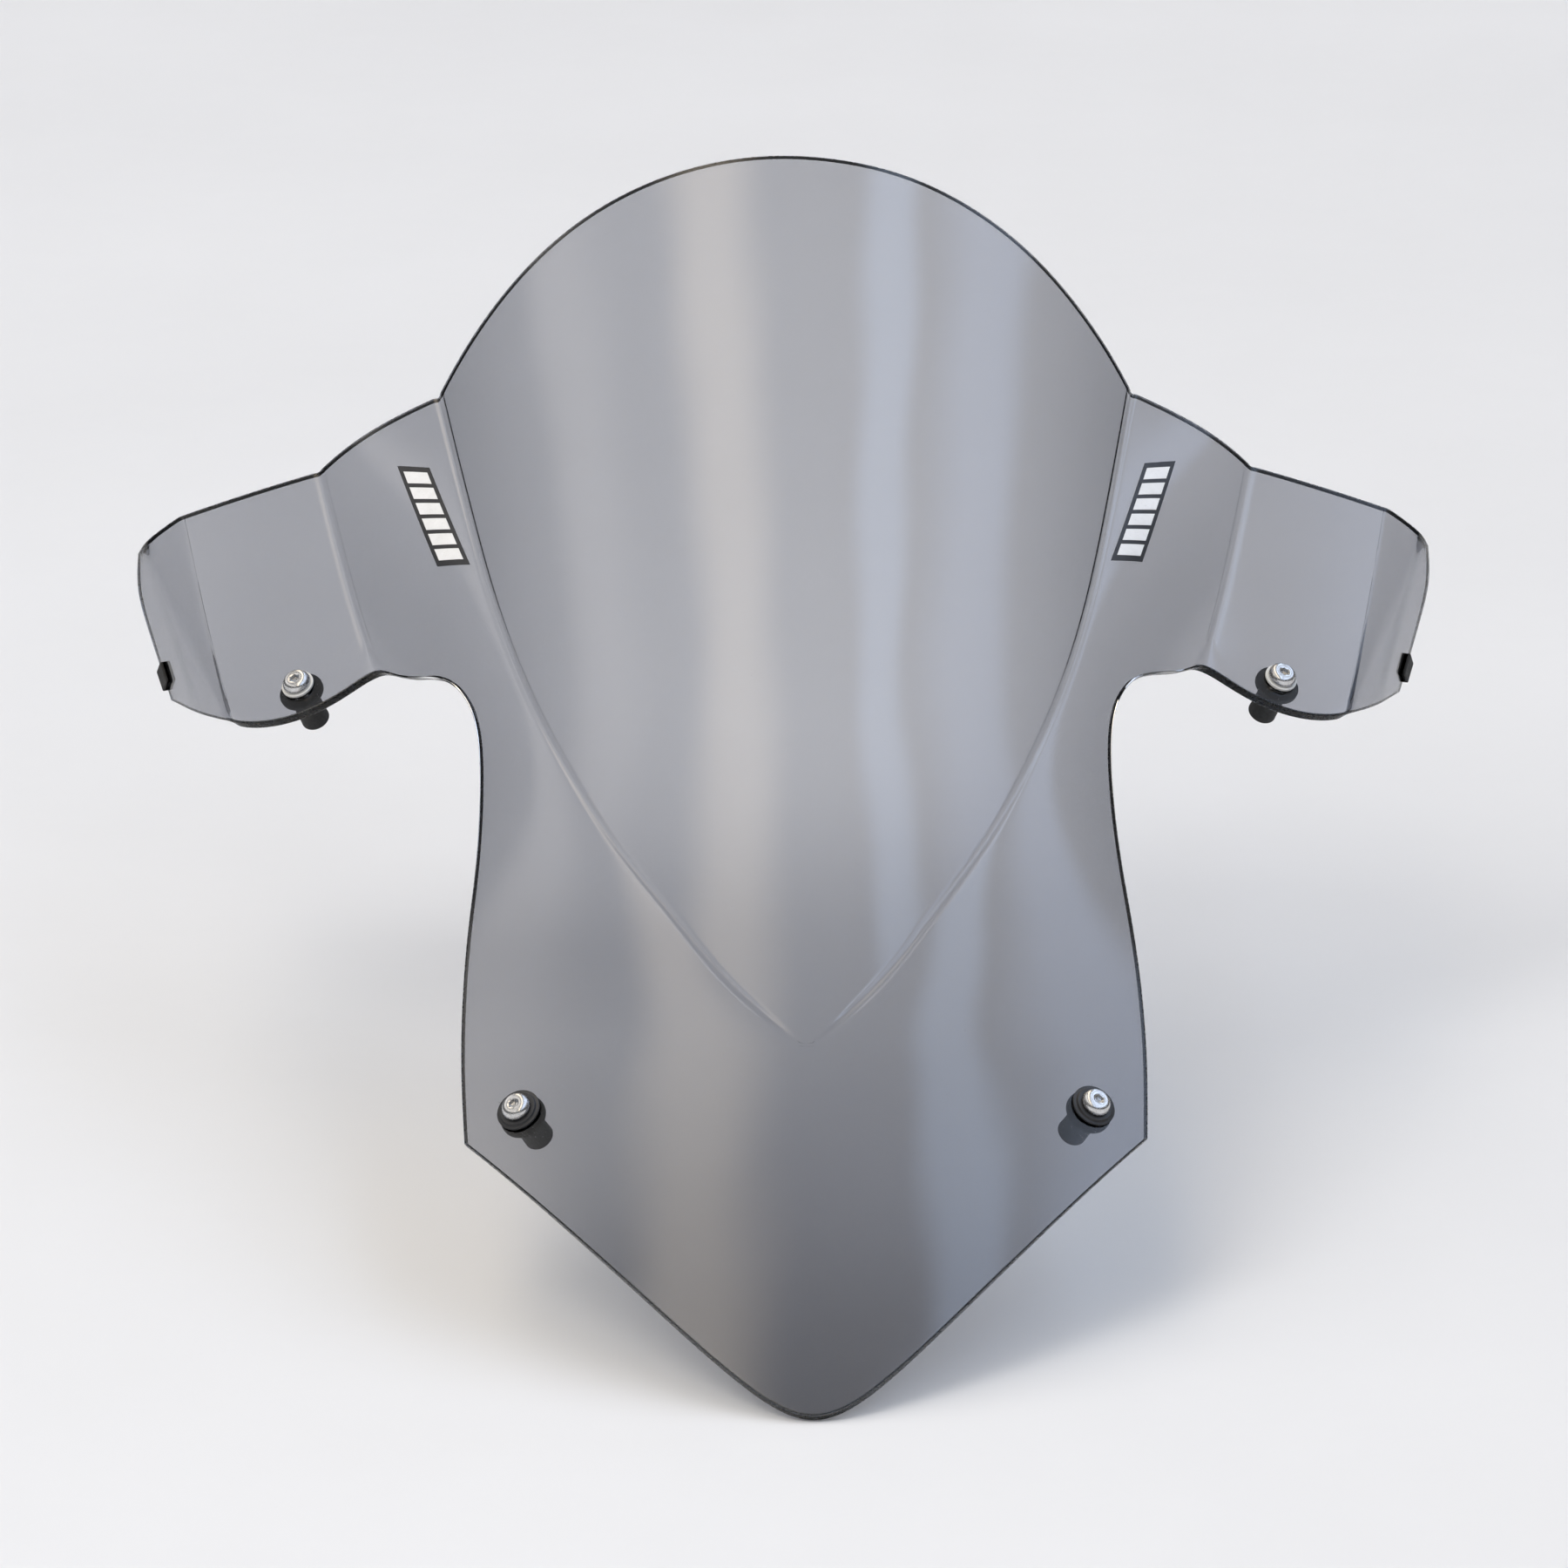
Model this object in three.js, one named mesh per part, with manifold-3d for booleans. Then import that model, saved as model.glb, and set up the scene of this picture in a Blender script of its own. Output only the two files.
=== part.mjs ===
// Windshield screen for a faired sport motorcycle: one thermoformed sheet of smoke-tinted acrylic with a
// raised central bubble, two shoulders and two wings, and the hardware that holds it to the fairing.
// Millimetres. +Z is up, +Y points to the rider, X runs across the machine. The origin is midway between
// the two lower screws, at the height where they meet the sheet's outer face.
import * as THREE from 'three';
import { mergeGeometries, mergeVertices } from 'three/addons/utils/BufferGeometryUtils.js';
import Module from 'manifold-3d';

const wasm = await Module();
wasm.setup();

// ---------------------------------------------------------------- driving dimensions

const SHEET_THICKNESS = 3.2;
const RAKE = THREE.MathUtils.degToRad(40);
const GAP = 0.3;
const REAR_GAP = 0.7;

// Places on the sheet are given as x across, s up along the raked centre plane, and n out from that plane.
const CENTRE_HEIGHT = [[-120, 17.5], [18, 18], [120, 16], [205, 11], [300, -3], [381, -17]];
const BUBBLE_RADIUS = [[11, 200], [61, 155], [97, 141], [139, 127], [183, 126.5], [252, 132], [318, 142]];
const BUBBLE_HALF_WIDTH = [
  [11, 0], [40, 25.5], [61, 39], [97, 59.5], [139, 77], [183, 91], [252, 105.5], [318, 116.5],
];
const SHOULDER_START_SLOPE = [
  [11, 0], [40, 3], [61, 7], [97, 14], [139, 25], [183, 31], [252, 26], [318, 20],
];
const OUTER_X = [[-130, 108], [0, 108], [60, 112], [105, 114], [150, 119], [219, 138], [302, 157]];
const OUTER_HEIGHT = [[-130, -8], [0, -8], [60, -18], [105, -33], [150, -54], [219, -80], [302, -87.5]];
const OUTER_SLOPE = [[-130, 27], [0, 27], [60, 34], [105, 43], [150, 53], [219, 57], [302, 46]];

const APEX_S = 381;
const VEE_S = 11;
const TIP_S = -120;
const NOTCH_S = 318;

// The sheet is drawn in rows that run from the centre line out to its edge.
const ROWS = 36;
const WING_ROWS = 8;
const BUBBLE_ROWS = 27;
const BUBBLE_COLUMNS = 10;
const SHOULDER_COLUMNS = 7;
// A bubble row drops on its way out: this share of it by the square of the way, the rest by its fourth power.
const BUBBLE_ROW_BOW = 0.63;

// Where the rows end: along the crease between shoulder and wing, then down the side edge. [row, x, s]
const SIDE_EDGE = [
  [8, 138, 219], [10, 130, 208], [12, 120, 199], [14, 111, 189], [16, 105.5, 174], [19, 103, 150],
  [23, 104, 111], [27, 107, 76], [32, 109, 28], [36, 108, -7],
];
const WING_CREASE_S = [[0, 302], [8, 219]];
const ROW_ROUNDING = [[0, 0.05], [18, 0.4], [27, 0.5], [36, 0.18]];

// The wing's own lines, from its top edge (0) to its bottom edge (1). [down, x, s] and [down, x, s, n]
const WING_BEND = [[0, 203, 295], [0.5, 196, 257], [1, 186, 207]];
const WING_FOLD = [[0, 216, 292.5, -115], [0.5, 209.5, 268, -115], [1, 197, 221, -112]];
const WING_RIM = [
  [0, 218.5, 293, -123], [0.35, 218.5, 281, -128], [0.65, 215, 267, -131], [1, 207, 240, -133],
];
const WING_PLATE_COLUMNS = 6;
const WING_BEND_COLUMNS = 3;
const WING_FLANGE_COLUMNS = 2;
const WING_TAB_DEPTH = 12;
const WING_SLOPE = 0.27;
const WING_CURL = 0.0012;
const WING_KNEE = 0.15;

const LOWER_SCREW = { x: 90.4, s: 0 };
const WING_SCREW = { x: 163, s: 216 };

const SCREW_HOLE_DIAMETER = 7;
const SCREW_DIAMETER = 5;
const SCREW_LENGTH = 20;
const HEAD_DIAMETER = 9.5;
const HEAD_HEIGHT = 2.75;
const HEAD_RIM_HEIGHT = 0.5;
const HEAD_CROWN_RADIUS = 2.6;
const HEAD_DOME_STEPS = 5;
const HEAD_DOME_POWER = 1.6;
const SCREW_POINT_CHAMFER = 0.5;
const SOCKET_ACROSS_CORNERS = 3.46;
const SOCKET_DEPTH = 1.6;
const STEP_WASHER_DIAMETER = 14.4;
const STEP_WASHER_THICKNESS = 1.6;
const STEP_WASHER_RIM_THICKNESS = 0.7;
const STEP_WASHER_SLOPE = 1.2;
const SLEEVE_SHORT_OF_REAR = 0.5;
const FLAT_WASHER_DIAMETER = 11;
const FLAT_WASHER_THICKNESS = 1;
const WELL_NUT_FLANGE_DIAMETER = 15;
const WELL_NUT_FLANGE_THICKNESS = 1.6;
const WELL_NUT_BODY_DIAMETER = 9.6;
const WELL_NUT_LENGTH = 14;
const WELL_NUT_CHAMFER = 0.6;
const INSERT_DIAMETER = 7.2;
const INSERT_LENGTH = 7;
const DRILL_LENGTH = 20;
const ROUND_SIDES = 20;

// The mark on each shoulder: a slanted strip of vinyl beside the bubble's foot. [s at top, s at bottom]
const MARK_S = [288, 238];
const MARK_FROM_FOOT = [13, 8];
const MARK_WIDTH = 10;
const MARK_SLANT = 5;
const MARK_THICKNESS = 0.35;
const MARK_ROWS = 10;
const MARK_COLUMNS = 3;

// The rubber buffer clipped over the lower end of each wing's rim.
const BUFFER_PLACE = 0.9;
const BUFFER_LENGTH = 8;
const BUFFER_DEPTH = 5;
const BUFFER_WALL = 1;

// ---------------------------------------------------------------- materials

const material = (name, color, roughness, metalness, extra = {}) =>
  new THREE.MeshStandardMaterial({ name, color, roughness, metalness, ...extra });
const acrylic = () => material('smoke_acrylic', 0x8d8f96, 0.05, 0, { transparent: true, opacity: 0.5 });
const stainless = () => material('stainless_steel', 0xd4d6d8, 0.25, 1);
const blackNylon = () => material('black_nylon', 0x141416, 0.5, 0);
const whiteNylon = () => material('white_nylon', 0xe6e6e2, 0.5, 0);
const rubber = () => material('black_rubber', 0x1a1a1b, 0.85, 0);
const brass = () => material('brass', 0xb8964e, 0.35, 1);
const vinyl = () => material('white_vinyl', 0xf2f2f2, 0.4, 0);

// ---------------------------------------------------------------- smooth curves through given places

// A natural cubic spline through [position, value] pairs, straight beyond its ends.
function spline(knots) {
  const last = knots.length - 1;
  const step = (i) => knots[i + 1][0] - knots[i][0];
  const rise = (i) => (knots[i + 1][1] - knots[i][1]) / step(i);
  const bend = new Array(last + 1).fill(0);
  const pivot = [];
  const load = [];
  for (let i = 1; i < last; i += 1) {
    const carry = i > 1 ? step(i - 1) / pivot[i - 1] : 0;
    pivot[i] = 2 * (step(i - 1) + step(i)) - (i > 1 ? carry * step(i - 1) : 0);
    load[i] = 6 * (rise(i) - rise(i - 1)) - (i > 1 ? carry * load[i - 1] : 0);
  }
  for (let i = last - 1; i > 0; i -= 1) {
    bend[i] = (load[i] - step(i) * bend[i + 1]) / pivot[i];
  }
  return (position) => {
    const at = THREE.MathUtils.clamp(position, knots[0][0], knots[last][0]);
    let i = 0;
    while (i < last - 1 && at > knots[i + 1][0]) i += 1;
    const h = step(i);
    const a = (knots[i + 1][0] - at) / h;
    const b = 1 - a;
    const curve = ((a ** 3 - a) * bend[i] + (b ** 3 - b) * bend[i + 1]) * h * h / 6;
    const slope = rise(i) + ((3 * b * b - 1) * bend[i + 1] - (3 * a * a - 1) * bend[i]) * h / 6;
    return a * knots[i][1] + b * knots[i + 1][1] + curve + slope * (position - at);
  };
}

const radians = (knots) => knots.map(([at, degrees]) => [at, THREE.MathUtils.degToRad(degrees)]);
const column = (table, index) => spline(table.map((row) => [row[0], row[index]]));
const mix = THREE.MathUtils.lerp;

const centreHeight = spline(CENTRE_HEIGHT);
const bubbleRadius = spline(BUBBLE_RADIUS);
const bubbleHalfWidth = spline(BUBBLE_HALF_WIDTH);
const shoulderStartSlope = spline(radians(SHOULDER_START_SLOPE));
const outerX = spline(OUTER_X);
const outerHeight = spline(OUTER_HEIGHT);
const outerSlope = spline(radians(OUTER_SLOPE));

// ---------------------------------------------------------------- the sheet's outer face

const place = (x, s, n) => new THREE.Vector3(
  x,
  s * Math.cos(RAKE) - n * Math.sin(RAKE),
  s * Math.sin(RAKE) + n * Math.cos(RAKE),
);

function bubbleHeight(x, s) {
  const radius = bubbleRadius(s);
  return centreHeight(s) - radius + Math.sqrt(radius * radius - x * x);
}

// The shoulders and the nose: a curve from the bubble's foot to the outer line, with a set slope at each.
function baseHeight(x, s) {
  const raised = s > VEE_S;
  const x0 = raised ? bubbleHalfWidth(s) : 0;
  const n0 = raised ? bubbleHeight(x0, s) : centreHeight(s);
  const span = outerX(s) - x0;
  const startRise = raised ? -Math.tan(shoulderStartSlope(s)) * span : 0;
  const endRise = -Math.tan(outerSlope(s)) * span;
  const q = (x - x0) / span;
  const start = (1 + 2 * q) * (1 - q) ** 2;
  const fromStart = q * (1 - q) ** 2;
  const fromEnd = q * q * (q - 1);
  return start * n0 + (1 - start) * outerHeight(s) + fromStart * startRise + fromEnd * endRise;
}

const centreLine = spline([[0, APEX_S], [BUBBLE_ROWS, VEE_S], [ROWS, TIP_S]]);
const bubbleFoot = (row) => mix(NOTCH_S, VEE_S, row / BUBBLE_ROWS);
const sideX = column(SIDE_EDGE, 1);
const sideS = column(SIDE_EDGE, 2);
const wingCreaseS = spline(WING_CREASE_S);
const rowRounding = spline(ROW_ROUNDING);

function bubblePoint(row, across) {
  const footS = bubbleFoot(row);
  const halfWidth = Math.max(bubbleHalfWidth(footS), 0);
  const radius = bubbleRadius(footS);
  const x = radius * Math.sin(across * Math.asin(halfWidth / radius));
  const q = halfWidth > 0 ? x / halfWidth : 0;
  const s = mix(centreLine(row), footS, BUBBLE_ROW_BOW * q ** 2 + (1 - BUBBLE_ROW_BOW) * q ** 4);
  return place(x, s, bubbleHeight(x, s));
}

function basePoint(row, across) {
  const onBubble = row < BUBBLE_ROWS;
  const startS = onBubble ? bubbleFoot(row) : centreLine(row);
  const startX = onBubble ? bubbleHalfWidth(startS) : 0;
  const onWing = row <= WING_ROWS;
  const endS = onWing ? wingCreaseS(row) : sideS(row);
  const endX = onWing ? outerX(endS) : sideX(row);
  const c = rowRounding(row);
  const sweep = (Math.hypot(1, across / c) - 1) / (Math.hypot(1, 1 / c) - 1);
  const x = mix(startX, endX, across);
  const s = mix(startS, endS, sweep);
  return place(x, s, baseHeight(x, s));
}

const wingLine = (table) => {
  const parts = table[0].slice(1).map((_, index) => column(table, index + 1));
  return (down) => parts.map((part) => part(down));
};
const wingBend = wingLine(WING_BEND);
const wingFold = wingLine(WING_FOLD);
const wingRim = wingLine(WING_RIM);

// The wing's plate falls away from the crease at the shoulder, a little faster towards the bend.
function plateHeight(x, s) {
  const run = x - outerX(s);
  return outerHeight(s) - WING_SLOPE * run - WING_CURL * run * run;
}

// The plate reaches lowest between the crease and the bend, in the tab for the wing screw.
function wingPlatePoint(down, across) {
  const creaseS = wingCreaseS(down * WING_ROWS);
  const [bendX, bendS] = wingBend(down);
  const x = mix(outerX(creaseS), bendX, across);
  const tab = WING_TAB_DEPTH * down ** 2 * 4 * across * (1 - across);
  const s = mix(creaseS, bendS, across) - tab;
  return place(x, s, plateHeight(x, s));
}

// The rounded bend from the plate to the fold, which leaves the plate in the plate's own direction.
function wingBendPoint(down, across) {
  const [x, s] = wingBend(down);
  const end = wingFold(down);
  const reach = WING_KNEE * (end[0] - x);
  const start = [x, s, plateHeight(x, s)];
  const knee = [x + reach, s, 2 * plateHeight(x, s) - plateHeight(x - reach, s)];
  const spot = start.map((value, i) => {
    const first = mix(value, knee[i], across);
    const second = mix(knee[i], end[i], across);
    return mix(first, second, across);
  });
  return place(...spot);
}

function wingFlangePoint(down, across) {
  const start = wingFold(down);
  const end = wingRim(down);
  return place(...start.map((value, i) => mix(value, end[i], across)));
}

// ---------------------------------------------------------------- solids

// One grid of triangles over pointAt(row, column), on the side of the machine that side names.
function grid(rows, columns, side, pointAt) {
  const places = [];
  const corners = [];
  for (let row = 0; row <= rows; row += 1) {
    for (let col = 0; col <= columns; col += 1) {
      const spot = pointAt(row, col / columns);
      places.push(side * spot.x, spot.y, spot.z);
    }
  }
  const step = columns + 1;
  for (let row = 0; row < rows; row += 1) {
    for (let col = 0; col < columns; col += 1) {
      const a = row * step + col;
      const quad = side > 0
        ? [a, a + step, a + 1, a + 1, a + step, a + step + 1]
        : [a, a + 1, a + step, a + 1, a + step + 1, a + step];
      corners.push(...quad);
    }
  }
  const geometry = new THREE.BufferGeometry();
  geometry.setAttribute('position', new THREE.Float32BufferAttribute(places, 3));
  geometry.setIndex(corners);
  return geometry;
}

// Joins surface patches and gives them thickness behind, with walls round every open edge.
function thicken(patches, thickness, lift = 0) {
  const face = mergeVertices(mergeGeometries(patches), 1e-3);
  const corners = [];
  const index = face.index.array;
  for (let i = 0; i < index.length; i += 3) {
    const [a, b, c] = index.slice(i, i + 3);
    if (a !== b && b !== c && c !== a) corners.push([a, b, c]);
  }
  face.setIndex(corners.flat());
  face.computeVertexNormals();
  const spots = face.getAttribute('position');
  const normals = face.getAttribute('normal');
  const places = [];
  for (const depth of [lift, lift - thickness]) {
    for (let i = 0; i < spots.count; i += 1) {
      const normal = new THREE.Vector3().fromBufferAttribute(normals, i);
      const spot = new THREE.Vector3().fromBufferAttribute(spots, i).addScaledVector(normal, depth);
      places.push(...spot.toArray());
    }
  }
  const behind = spots.count;
  const edges = new Set(corners.flatMap(([a, b, c]) => [`${a},${b}`, `${b},${c}`, `${c},${a}`]));
  const faces = corners.flatMap(([a, b, c]) => [[a, b, c], [c + behind, b + behind, a + behind]]);
  for (const edge of edges) {
    const [a, b] = edge.split(',').map(Number);
    if (!edges.has(`${b},${a}`)) faces.push([b, a, a + behind], [b, a + behind, b + behind]);
  }
  const geometry = new THREE.BufferGeometry();
  geometry.setAttribute('position', new THREE.Float32BufferAttribute(places, 3));
  geometry.setIndex(faces.flat());
  return geometry;
}

function toSolid(geometry) {
  const bare = geometry.clone();
  bare.deleteAttribute('normal');
  bare.deleteAttribute('uv');
  const merged = mergeVertices(bare, 1e-4);
  return new wasm.Manifold(new wasm.Mesh({
    numProp: 3,
    vertProperties: merged.getAttribute('position').array,
    triVerts: new Uint32Array(merged.index.array),
  }));
}

function toGeometry(solid) {
  const mesh = solid.getMesh();
  const geometry = new THREE.BufferGeometry();
  geometry.setAttribute('position', new THREE.Float32BufferAttribute(mesh.vertProperties, 3));
  geometry.setIndex(Array.from(mesh.triVerts));
  return geometry;
}

// A piece turned about Z, from a closed outline of [radius, height] places.
function turned(outline) {
  const profile = outline.map(([radius, height]) => new THREE.Vector2(radius, height));
  return new THREE.LatheGeometry(profile, ROUND_SIDES).rotateX(Math.PI / 2);
}

const ring = (inner, outer, bottom, top) => turned([
  [inner, bottom], [outer, bottom], [outer, top], [inner, top], [inner, bottom],
]);

// ---------------------------------------------------------------- where things stand on the sheet

// The outer face's place and direction at x, s, as a frame whose Z points out of the sheet.
function seat(pointAt, x, s, side) {
  const nudge = 0.5;
  const along = pointAt(x, s + nudge).sub(pointAt(x, s - nudge));
  const across = pointAt(x + nudge, s).sub(pointAt(x - nudge, s));
  const outward = across.cross(along).normalize();
  const spot = pointAt(x, s);
  spot.x *= side;
  outward.x *= side;
  const holder = new THREE.Group();
  holder.position.copy(spot);
  holder.quaternion.setFromUnitVectors(new THREE.Vector3(0, 0, 1), outward);
  return holder;
}

const onBase = (x, s) => place(x, s, baseHeight(x, s));

const onWingPlate = (x, s) => place(x, s, plateHeight(x, s));

// ---------------------------------------------------------------- pieces

const object = new THREE.Group();

function addMesh(holder, name, geometry, finish) {
  const mesh = new THREE.Mesh(geometry, finish);
  mesh.name = name;
  holder.add(mesh);
}

const SIDES = [['left', -1], ['right', 1]];

function screenBlank() {
  const patches = SIDES.flatMap(([, side]) => [
    grid(BUBBLE_ROWS, BUBBLE_COLUMNS, side, bubblePoint),
    grid(ROWS, SHOULDER_COLUMNS, side, basePoint),
    grid(WING_ROWS, WING_PLATE_COLUMNS, side, (row, q) => wingPlatePoint(row / WING_ROWS, q)),
    grid(WING_ROWS, WING_BEND_COLUMNS, side, (row, q) => wingBendPoint(row / WING_ROWS, q)),
    grid(WING_ROWS, WING_FLANGE_COLUMNS, side, (row, q) => wingFlangePoint(row / WING_ROWS, q)),
  ]);
  return thicken(patches, SHEET_THICKNESS);
}

function drill(holder) {
  const radius = SCREW_HOLE_DIAMETER / 2;
  const bit = new THREE.CylinderGeometry(radius, radius, DRILL_LENGTH, ROUND_SIDES).rotateX(Math.PI / 2);
  holder.updateMatrixWorld(true);
  return toSolid(bit.applyMatrix4(holder.matrixWorld));
}

// A button-head screw whose head rests at height on the stack, with a hexagon socket.
function screwGeometry(height) {
  const head = HEAD_DIAMETER / 2;
  const shank = SCREW_DIAMETER / 2;
  const point = height - SCREW_LENGTH;
  const dome = [];
  for (let i = 0; i <= HEAD_DOME_STEPS; i += 1) {
    const q = i / HEAD_DOME_STEPS;
    const rise = mix(HEAD_RIM_HEIGHT, HEAD_HEIGHT, Math.sin(q * Math.PI / 2));
    dome.push([mix(head, HEAD_CROWN_RADIUS, q ** HEAD_DOME_POWER), height + rise]);
  }
  const body = turned([
    [0, point], [shank - SCREW_POINT_CHAMFER, point], [shank, point + SCREW_POINT_CHAMFER],
    [shank, height], [head, height], ...dome, [0, height + HEAD_HEIGHT],
  ]);
  const socketRadius = SOCKET_ACROSS_CORNERS / 2;
  const socket = new THREE.CylinderGeometry(socketRadius, socketRadius, SOCKET_DEPTH * 2, 6)
    .rotateX(Math.PI / 2)
    .translate(0, 0, height + HEAD_HEIGHT);
  return toGeometry(toSolid(body).subtract(toSolid(socket)));
}

// The black washer under a lower screw: a wide step, a narrower step, and a sleeve down the sheet's hole.
function stepWasherGeometry() {
  const bore = SCREW_DIAMETER / 2 + GAP;
  const sleeve = SCREW_HOLE_DIAMETER / 2 - GAP;
  const rim = STEP_WASHER_DIAMETER / 2;
  const top = GAP + STEP_WASHER_THICKNESS;
  const sleeveEnd = SLEEVE_SHORT_OF_REAR - SHEET_THICKNESS;
  return turned([
    [bore, sleeveEnd], [sleeve, sleeveEnd], [sleeve, GAP], [rim, GAP],
    [rim, GAP + STEP_WASHER_RIM_THICKNESS], [rim - STEP_WASHER_SLOPE, top], [bore, top], [bore, sleeveEnd],
  ]);
}

// The rubber well nut behind the sheet: a flange, a body with a bore, and a pocket for the brass insert.
function wellNutGeometry() {
  const front = -SHEET_THICKNESS - REAR_GAP;
  const seatFace = front - WELL_NUT_FLANGE_THICKNESS;
  const rear = front - WELL_NUT_LENGTH;
  const bore = SCREW_DIAMETER / 2 + GAP;
  const body = WELL_NUT_BODY_DIAMETER / 2;
  const pocket = INSERT_DIAMETER / 2 + GAP;
  const step = rear + INSERT_LENGTH + GAP;
  return turned([
    [bore, front], [bore, step], [pocket, step], [pocket, rear], [body - WELL_NUT_CHAMFER, rear],
    [body, rear + WELL_NUT_CHAMFER], [body, seatFace], [WELL_NUT_FLANGE_DIAMETER / 2, seatFace],
    [WELL_NUT_FLANGE_DIAMETER / 2, front], [bore, front],
  ]);
}

function insertGeometry() {
  const rear = -SHEET_THICKNESS - REAR_GAP - WELL_NUT_LENGTH;
  return ring(SCREW_DIAMETER / 2 + GAP, INSERT_DIAMETER / 2, rear, rear + INSERT_LENGTH);
}

function addFixing(holder, where, side, washer, washerTop, washerFinish) {
  addMesh(holder, `${where}_washer_${side}`, washer, washerFinish);
  addMesh(holder, `${where}_screw_${side}`, screwGeometry(washerTop + GAP), stainless());
  addMesh(holder, `${where}_well_nut_${side}`, wellNutGeometry(), rubber());
  addMesh(holder, `${where}_brass_insert_${side}`, insertGeometry(), brass());
}

function markPoint(row, q) {
  const down = row / MARK_ROWS;
  const s = mix(MARK_S[0], MARK_S[1], down) + MARK_SLANT * (q - 0.5);
  const x = bubbleHalfWidth(s) + mix(MARK_FROM_FOOT[0], MARK_FROM_FOOT[1], down) + MARK_WIDTH * (q - 0.5);
  return onBase(x, s);
}

function markGeometry(side) {
  return thicken([grid(MARK_ROWS, MARK_COLUMNS, side, markPoint)], MARK_THICKNESS, GAP + MARK_THICKNESS);
}

// A U-shaped channel whose slot takes the rim: X runs down the rim, Y in from it, Z out of the sheet.
function bufferGeometry() {
  const half = SHEET_THICKNESS / 2 + GAP;
  const outline = new THREE.Shape();
  outline.moveTo(-BUFFER_WALL - GAP, -half - BUFFER_WALL);
  outline.lineTo(BUFFER_DEPTH, -half - BUFFER_WALL);
  outline.lineTo(BUFFER_DEPTH, -half);
  outline.lineTo(-GAP, -half);
  outline.lineTo(-GAP, half);
  outline.lineTo(BUFFER_DEPTH, half);
  outline.lineTo(BUFFER_DEPTH, half + BUFFER_WALL);
  outline.lineTo(-BUFFER_WALL - GAP, half + BUFFER_WALL);
  outline.closePath();
  return new THREE.ExtrudeGeometry(outline, { depth: BUFFER_LENGTH, bevelEnabled: false })
    .translate(0, 0, -BUFFER_LENGTH / 2)
    .applyMatrix4(new THREE.Matrix4().makeBasis(
      new THREE.Vector3(0, 1, 0), new THREE.Vector3(0, 0, 1), new THREE.Vector3(1, 0, 0),
    ));
}

function bufferSeat(side) {
  const spot = place(...wingRim(BUFFER_PLACE));
  const nudge = 0.05;
  const along = place(...wingRim(BUFFER_PLACE + nudge)).sub(place(...wingRim(BUFFER_PLACE - nudge)));
  const inward = place(...wingFold(BUFFER_PLACE)).sub(spot);
  for (const vector of [spot, along, inward]) vector.x *= side;
  along.multiplyScalar(-side).normalize();
  const outward = along.clone().cross(inward).normalize();
  inward.crossVectors(outward, along);
  const holder = new THREE.Group();
  holder.position.copy(spot).addScaledVector(outward, -SHEET_THICKNESS / 2);
  holder.quaternion.setFromRotationMatrix(new THREE.Matrix4().makeBasis(along, inward, outward));
  return holder;
}

const STEP_WASHER_TOP = GAP + STEP_WASHER_THICKNESS;
const FLAT_WASHER_TOP = GAP + FLAT_WASHER_THICKNESS;
let sheet = toSolid(screenBlank());
for (const [side, sign] of SIDES) {
  const lower = seat(onBase, LOWER_SCREW.x, LOWER_SCREW.s, sign);
  const wing = seat(onWingPlate, WING_SCREW.x, WING_SCREW.s, sign);
  sheet = sheet.subtract(drill(lower)).subtract(drill(wing));
  addFixing(lower, 'lower', side, stepWasherGeometry(), STEP_WASHER_TOP, blackNylon());
  const flatWasher = ring(SCREW_DIAMETER / 2 + GAP, FLAT_WASHER_DIAMETER / 2, GAP, FLAT_WASHER_TOP);
  addFixing(wing, 'wing', side, flatWasher, FLAT_WASHER_TOP, whiteNylon());
  const rimEnd = bufferSeat(sign);
  addMesh(rimEnd, `edge_buffer_${side}`, bufferGeometry(), rubber());
  addMesh(object, `shoulder_mark_${side}`, markGeometry(sign), vinyl());
  object.add(lower, wing, rimEnd);
}
addMesh(object, 'screen', toGeometry(sheet), acrylic());

export default object;
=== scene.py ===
"""Looks for the windshield screen: a fine, softly creased sheet of smoke acrylic with polished edges,
detailed screws, washers, well nuts and inserts, the rubber buffers on the wings' rims and the vinyl marks on
the shoulders."""

import math

import bmesh
import bpy
import numpy as np
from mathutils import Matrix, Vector


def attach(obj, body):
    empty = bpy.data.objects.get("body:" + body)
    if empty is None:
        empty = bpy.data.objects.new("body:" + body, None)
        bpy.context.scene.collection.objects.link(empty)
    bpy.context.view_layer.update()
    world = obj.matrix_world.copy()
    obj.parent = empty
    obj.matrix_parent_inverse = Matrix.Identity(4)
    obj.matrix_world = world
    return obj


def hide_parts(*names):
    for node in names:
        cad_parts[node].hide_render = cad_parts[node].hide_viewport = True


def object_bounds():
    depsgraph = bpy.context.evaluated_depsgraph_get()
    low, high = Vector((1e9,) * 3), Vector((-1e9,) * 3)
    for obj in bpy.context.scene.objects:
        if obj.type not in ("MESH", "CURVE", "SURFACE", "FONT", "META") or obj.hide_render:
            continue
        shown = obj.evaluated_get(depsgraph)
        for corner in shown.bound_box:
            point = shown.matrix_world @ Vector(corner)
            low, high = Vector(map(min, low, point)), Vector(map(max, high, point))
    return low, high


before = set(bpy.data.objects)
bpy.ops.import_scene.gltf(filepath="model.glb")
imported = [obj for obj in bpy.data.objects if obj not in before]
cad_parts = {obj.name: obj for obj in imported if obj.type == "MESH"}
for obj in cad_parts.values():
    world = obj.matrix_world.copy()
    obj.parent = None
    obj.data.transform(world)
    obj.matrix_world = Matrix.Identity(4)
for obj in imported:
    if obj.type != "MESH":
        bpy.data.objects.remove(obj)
CAD_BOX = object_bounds()
MM = 0.001

# ---------------------------------------------------------------- driving dimensions, in millimetres
# They are the part's own. Places on the sheet are x across, s up along the raked centre plane, n out from it.

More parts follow.
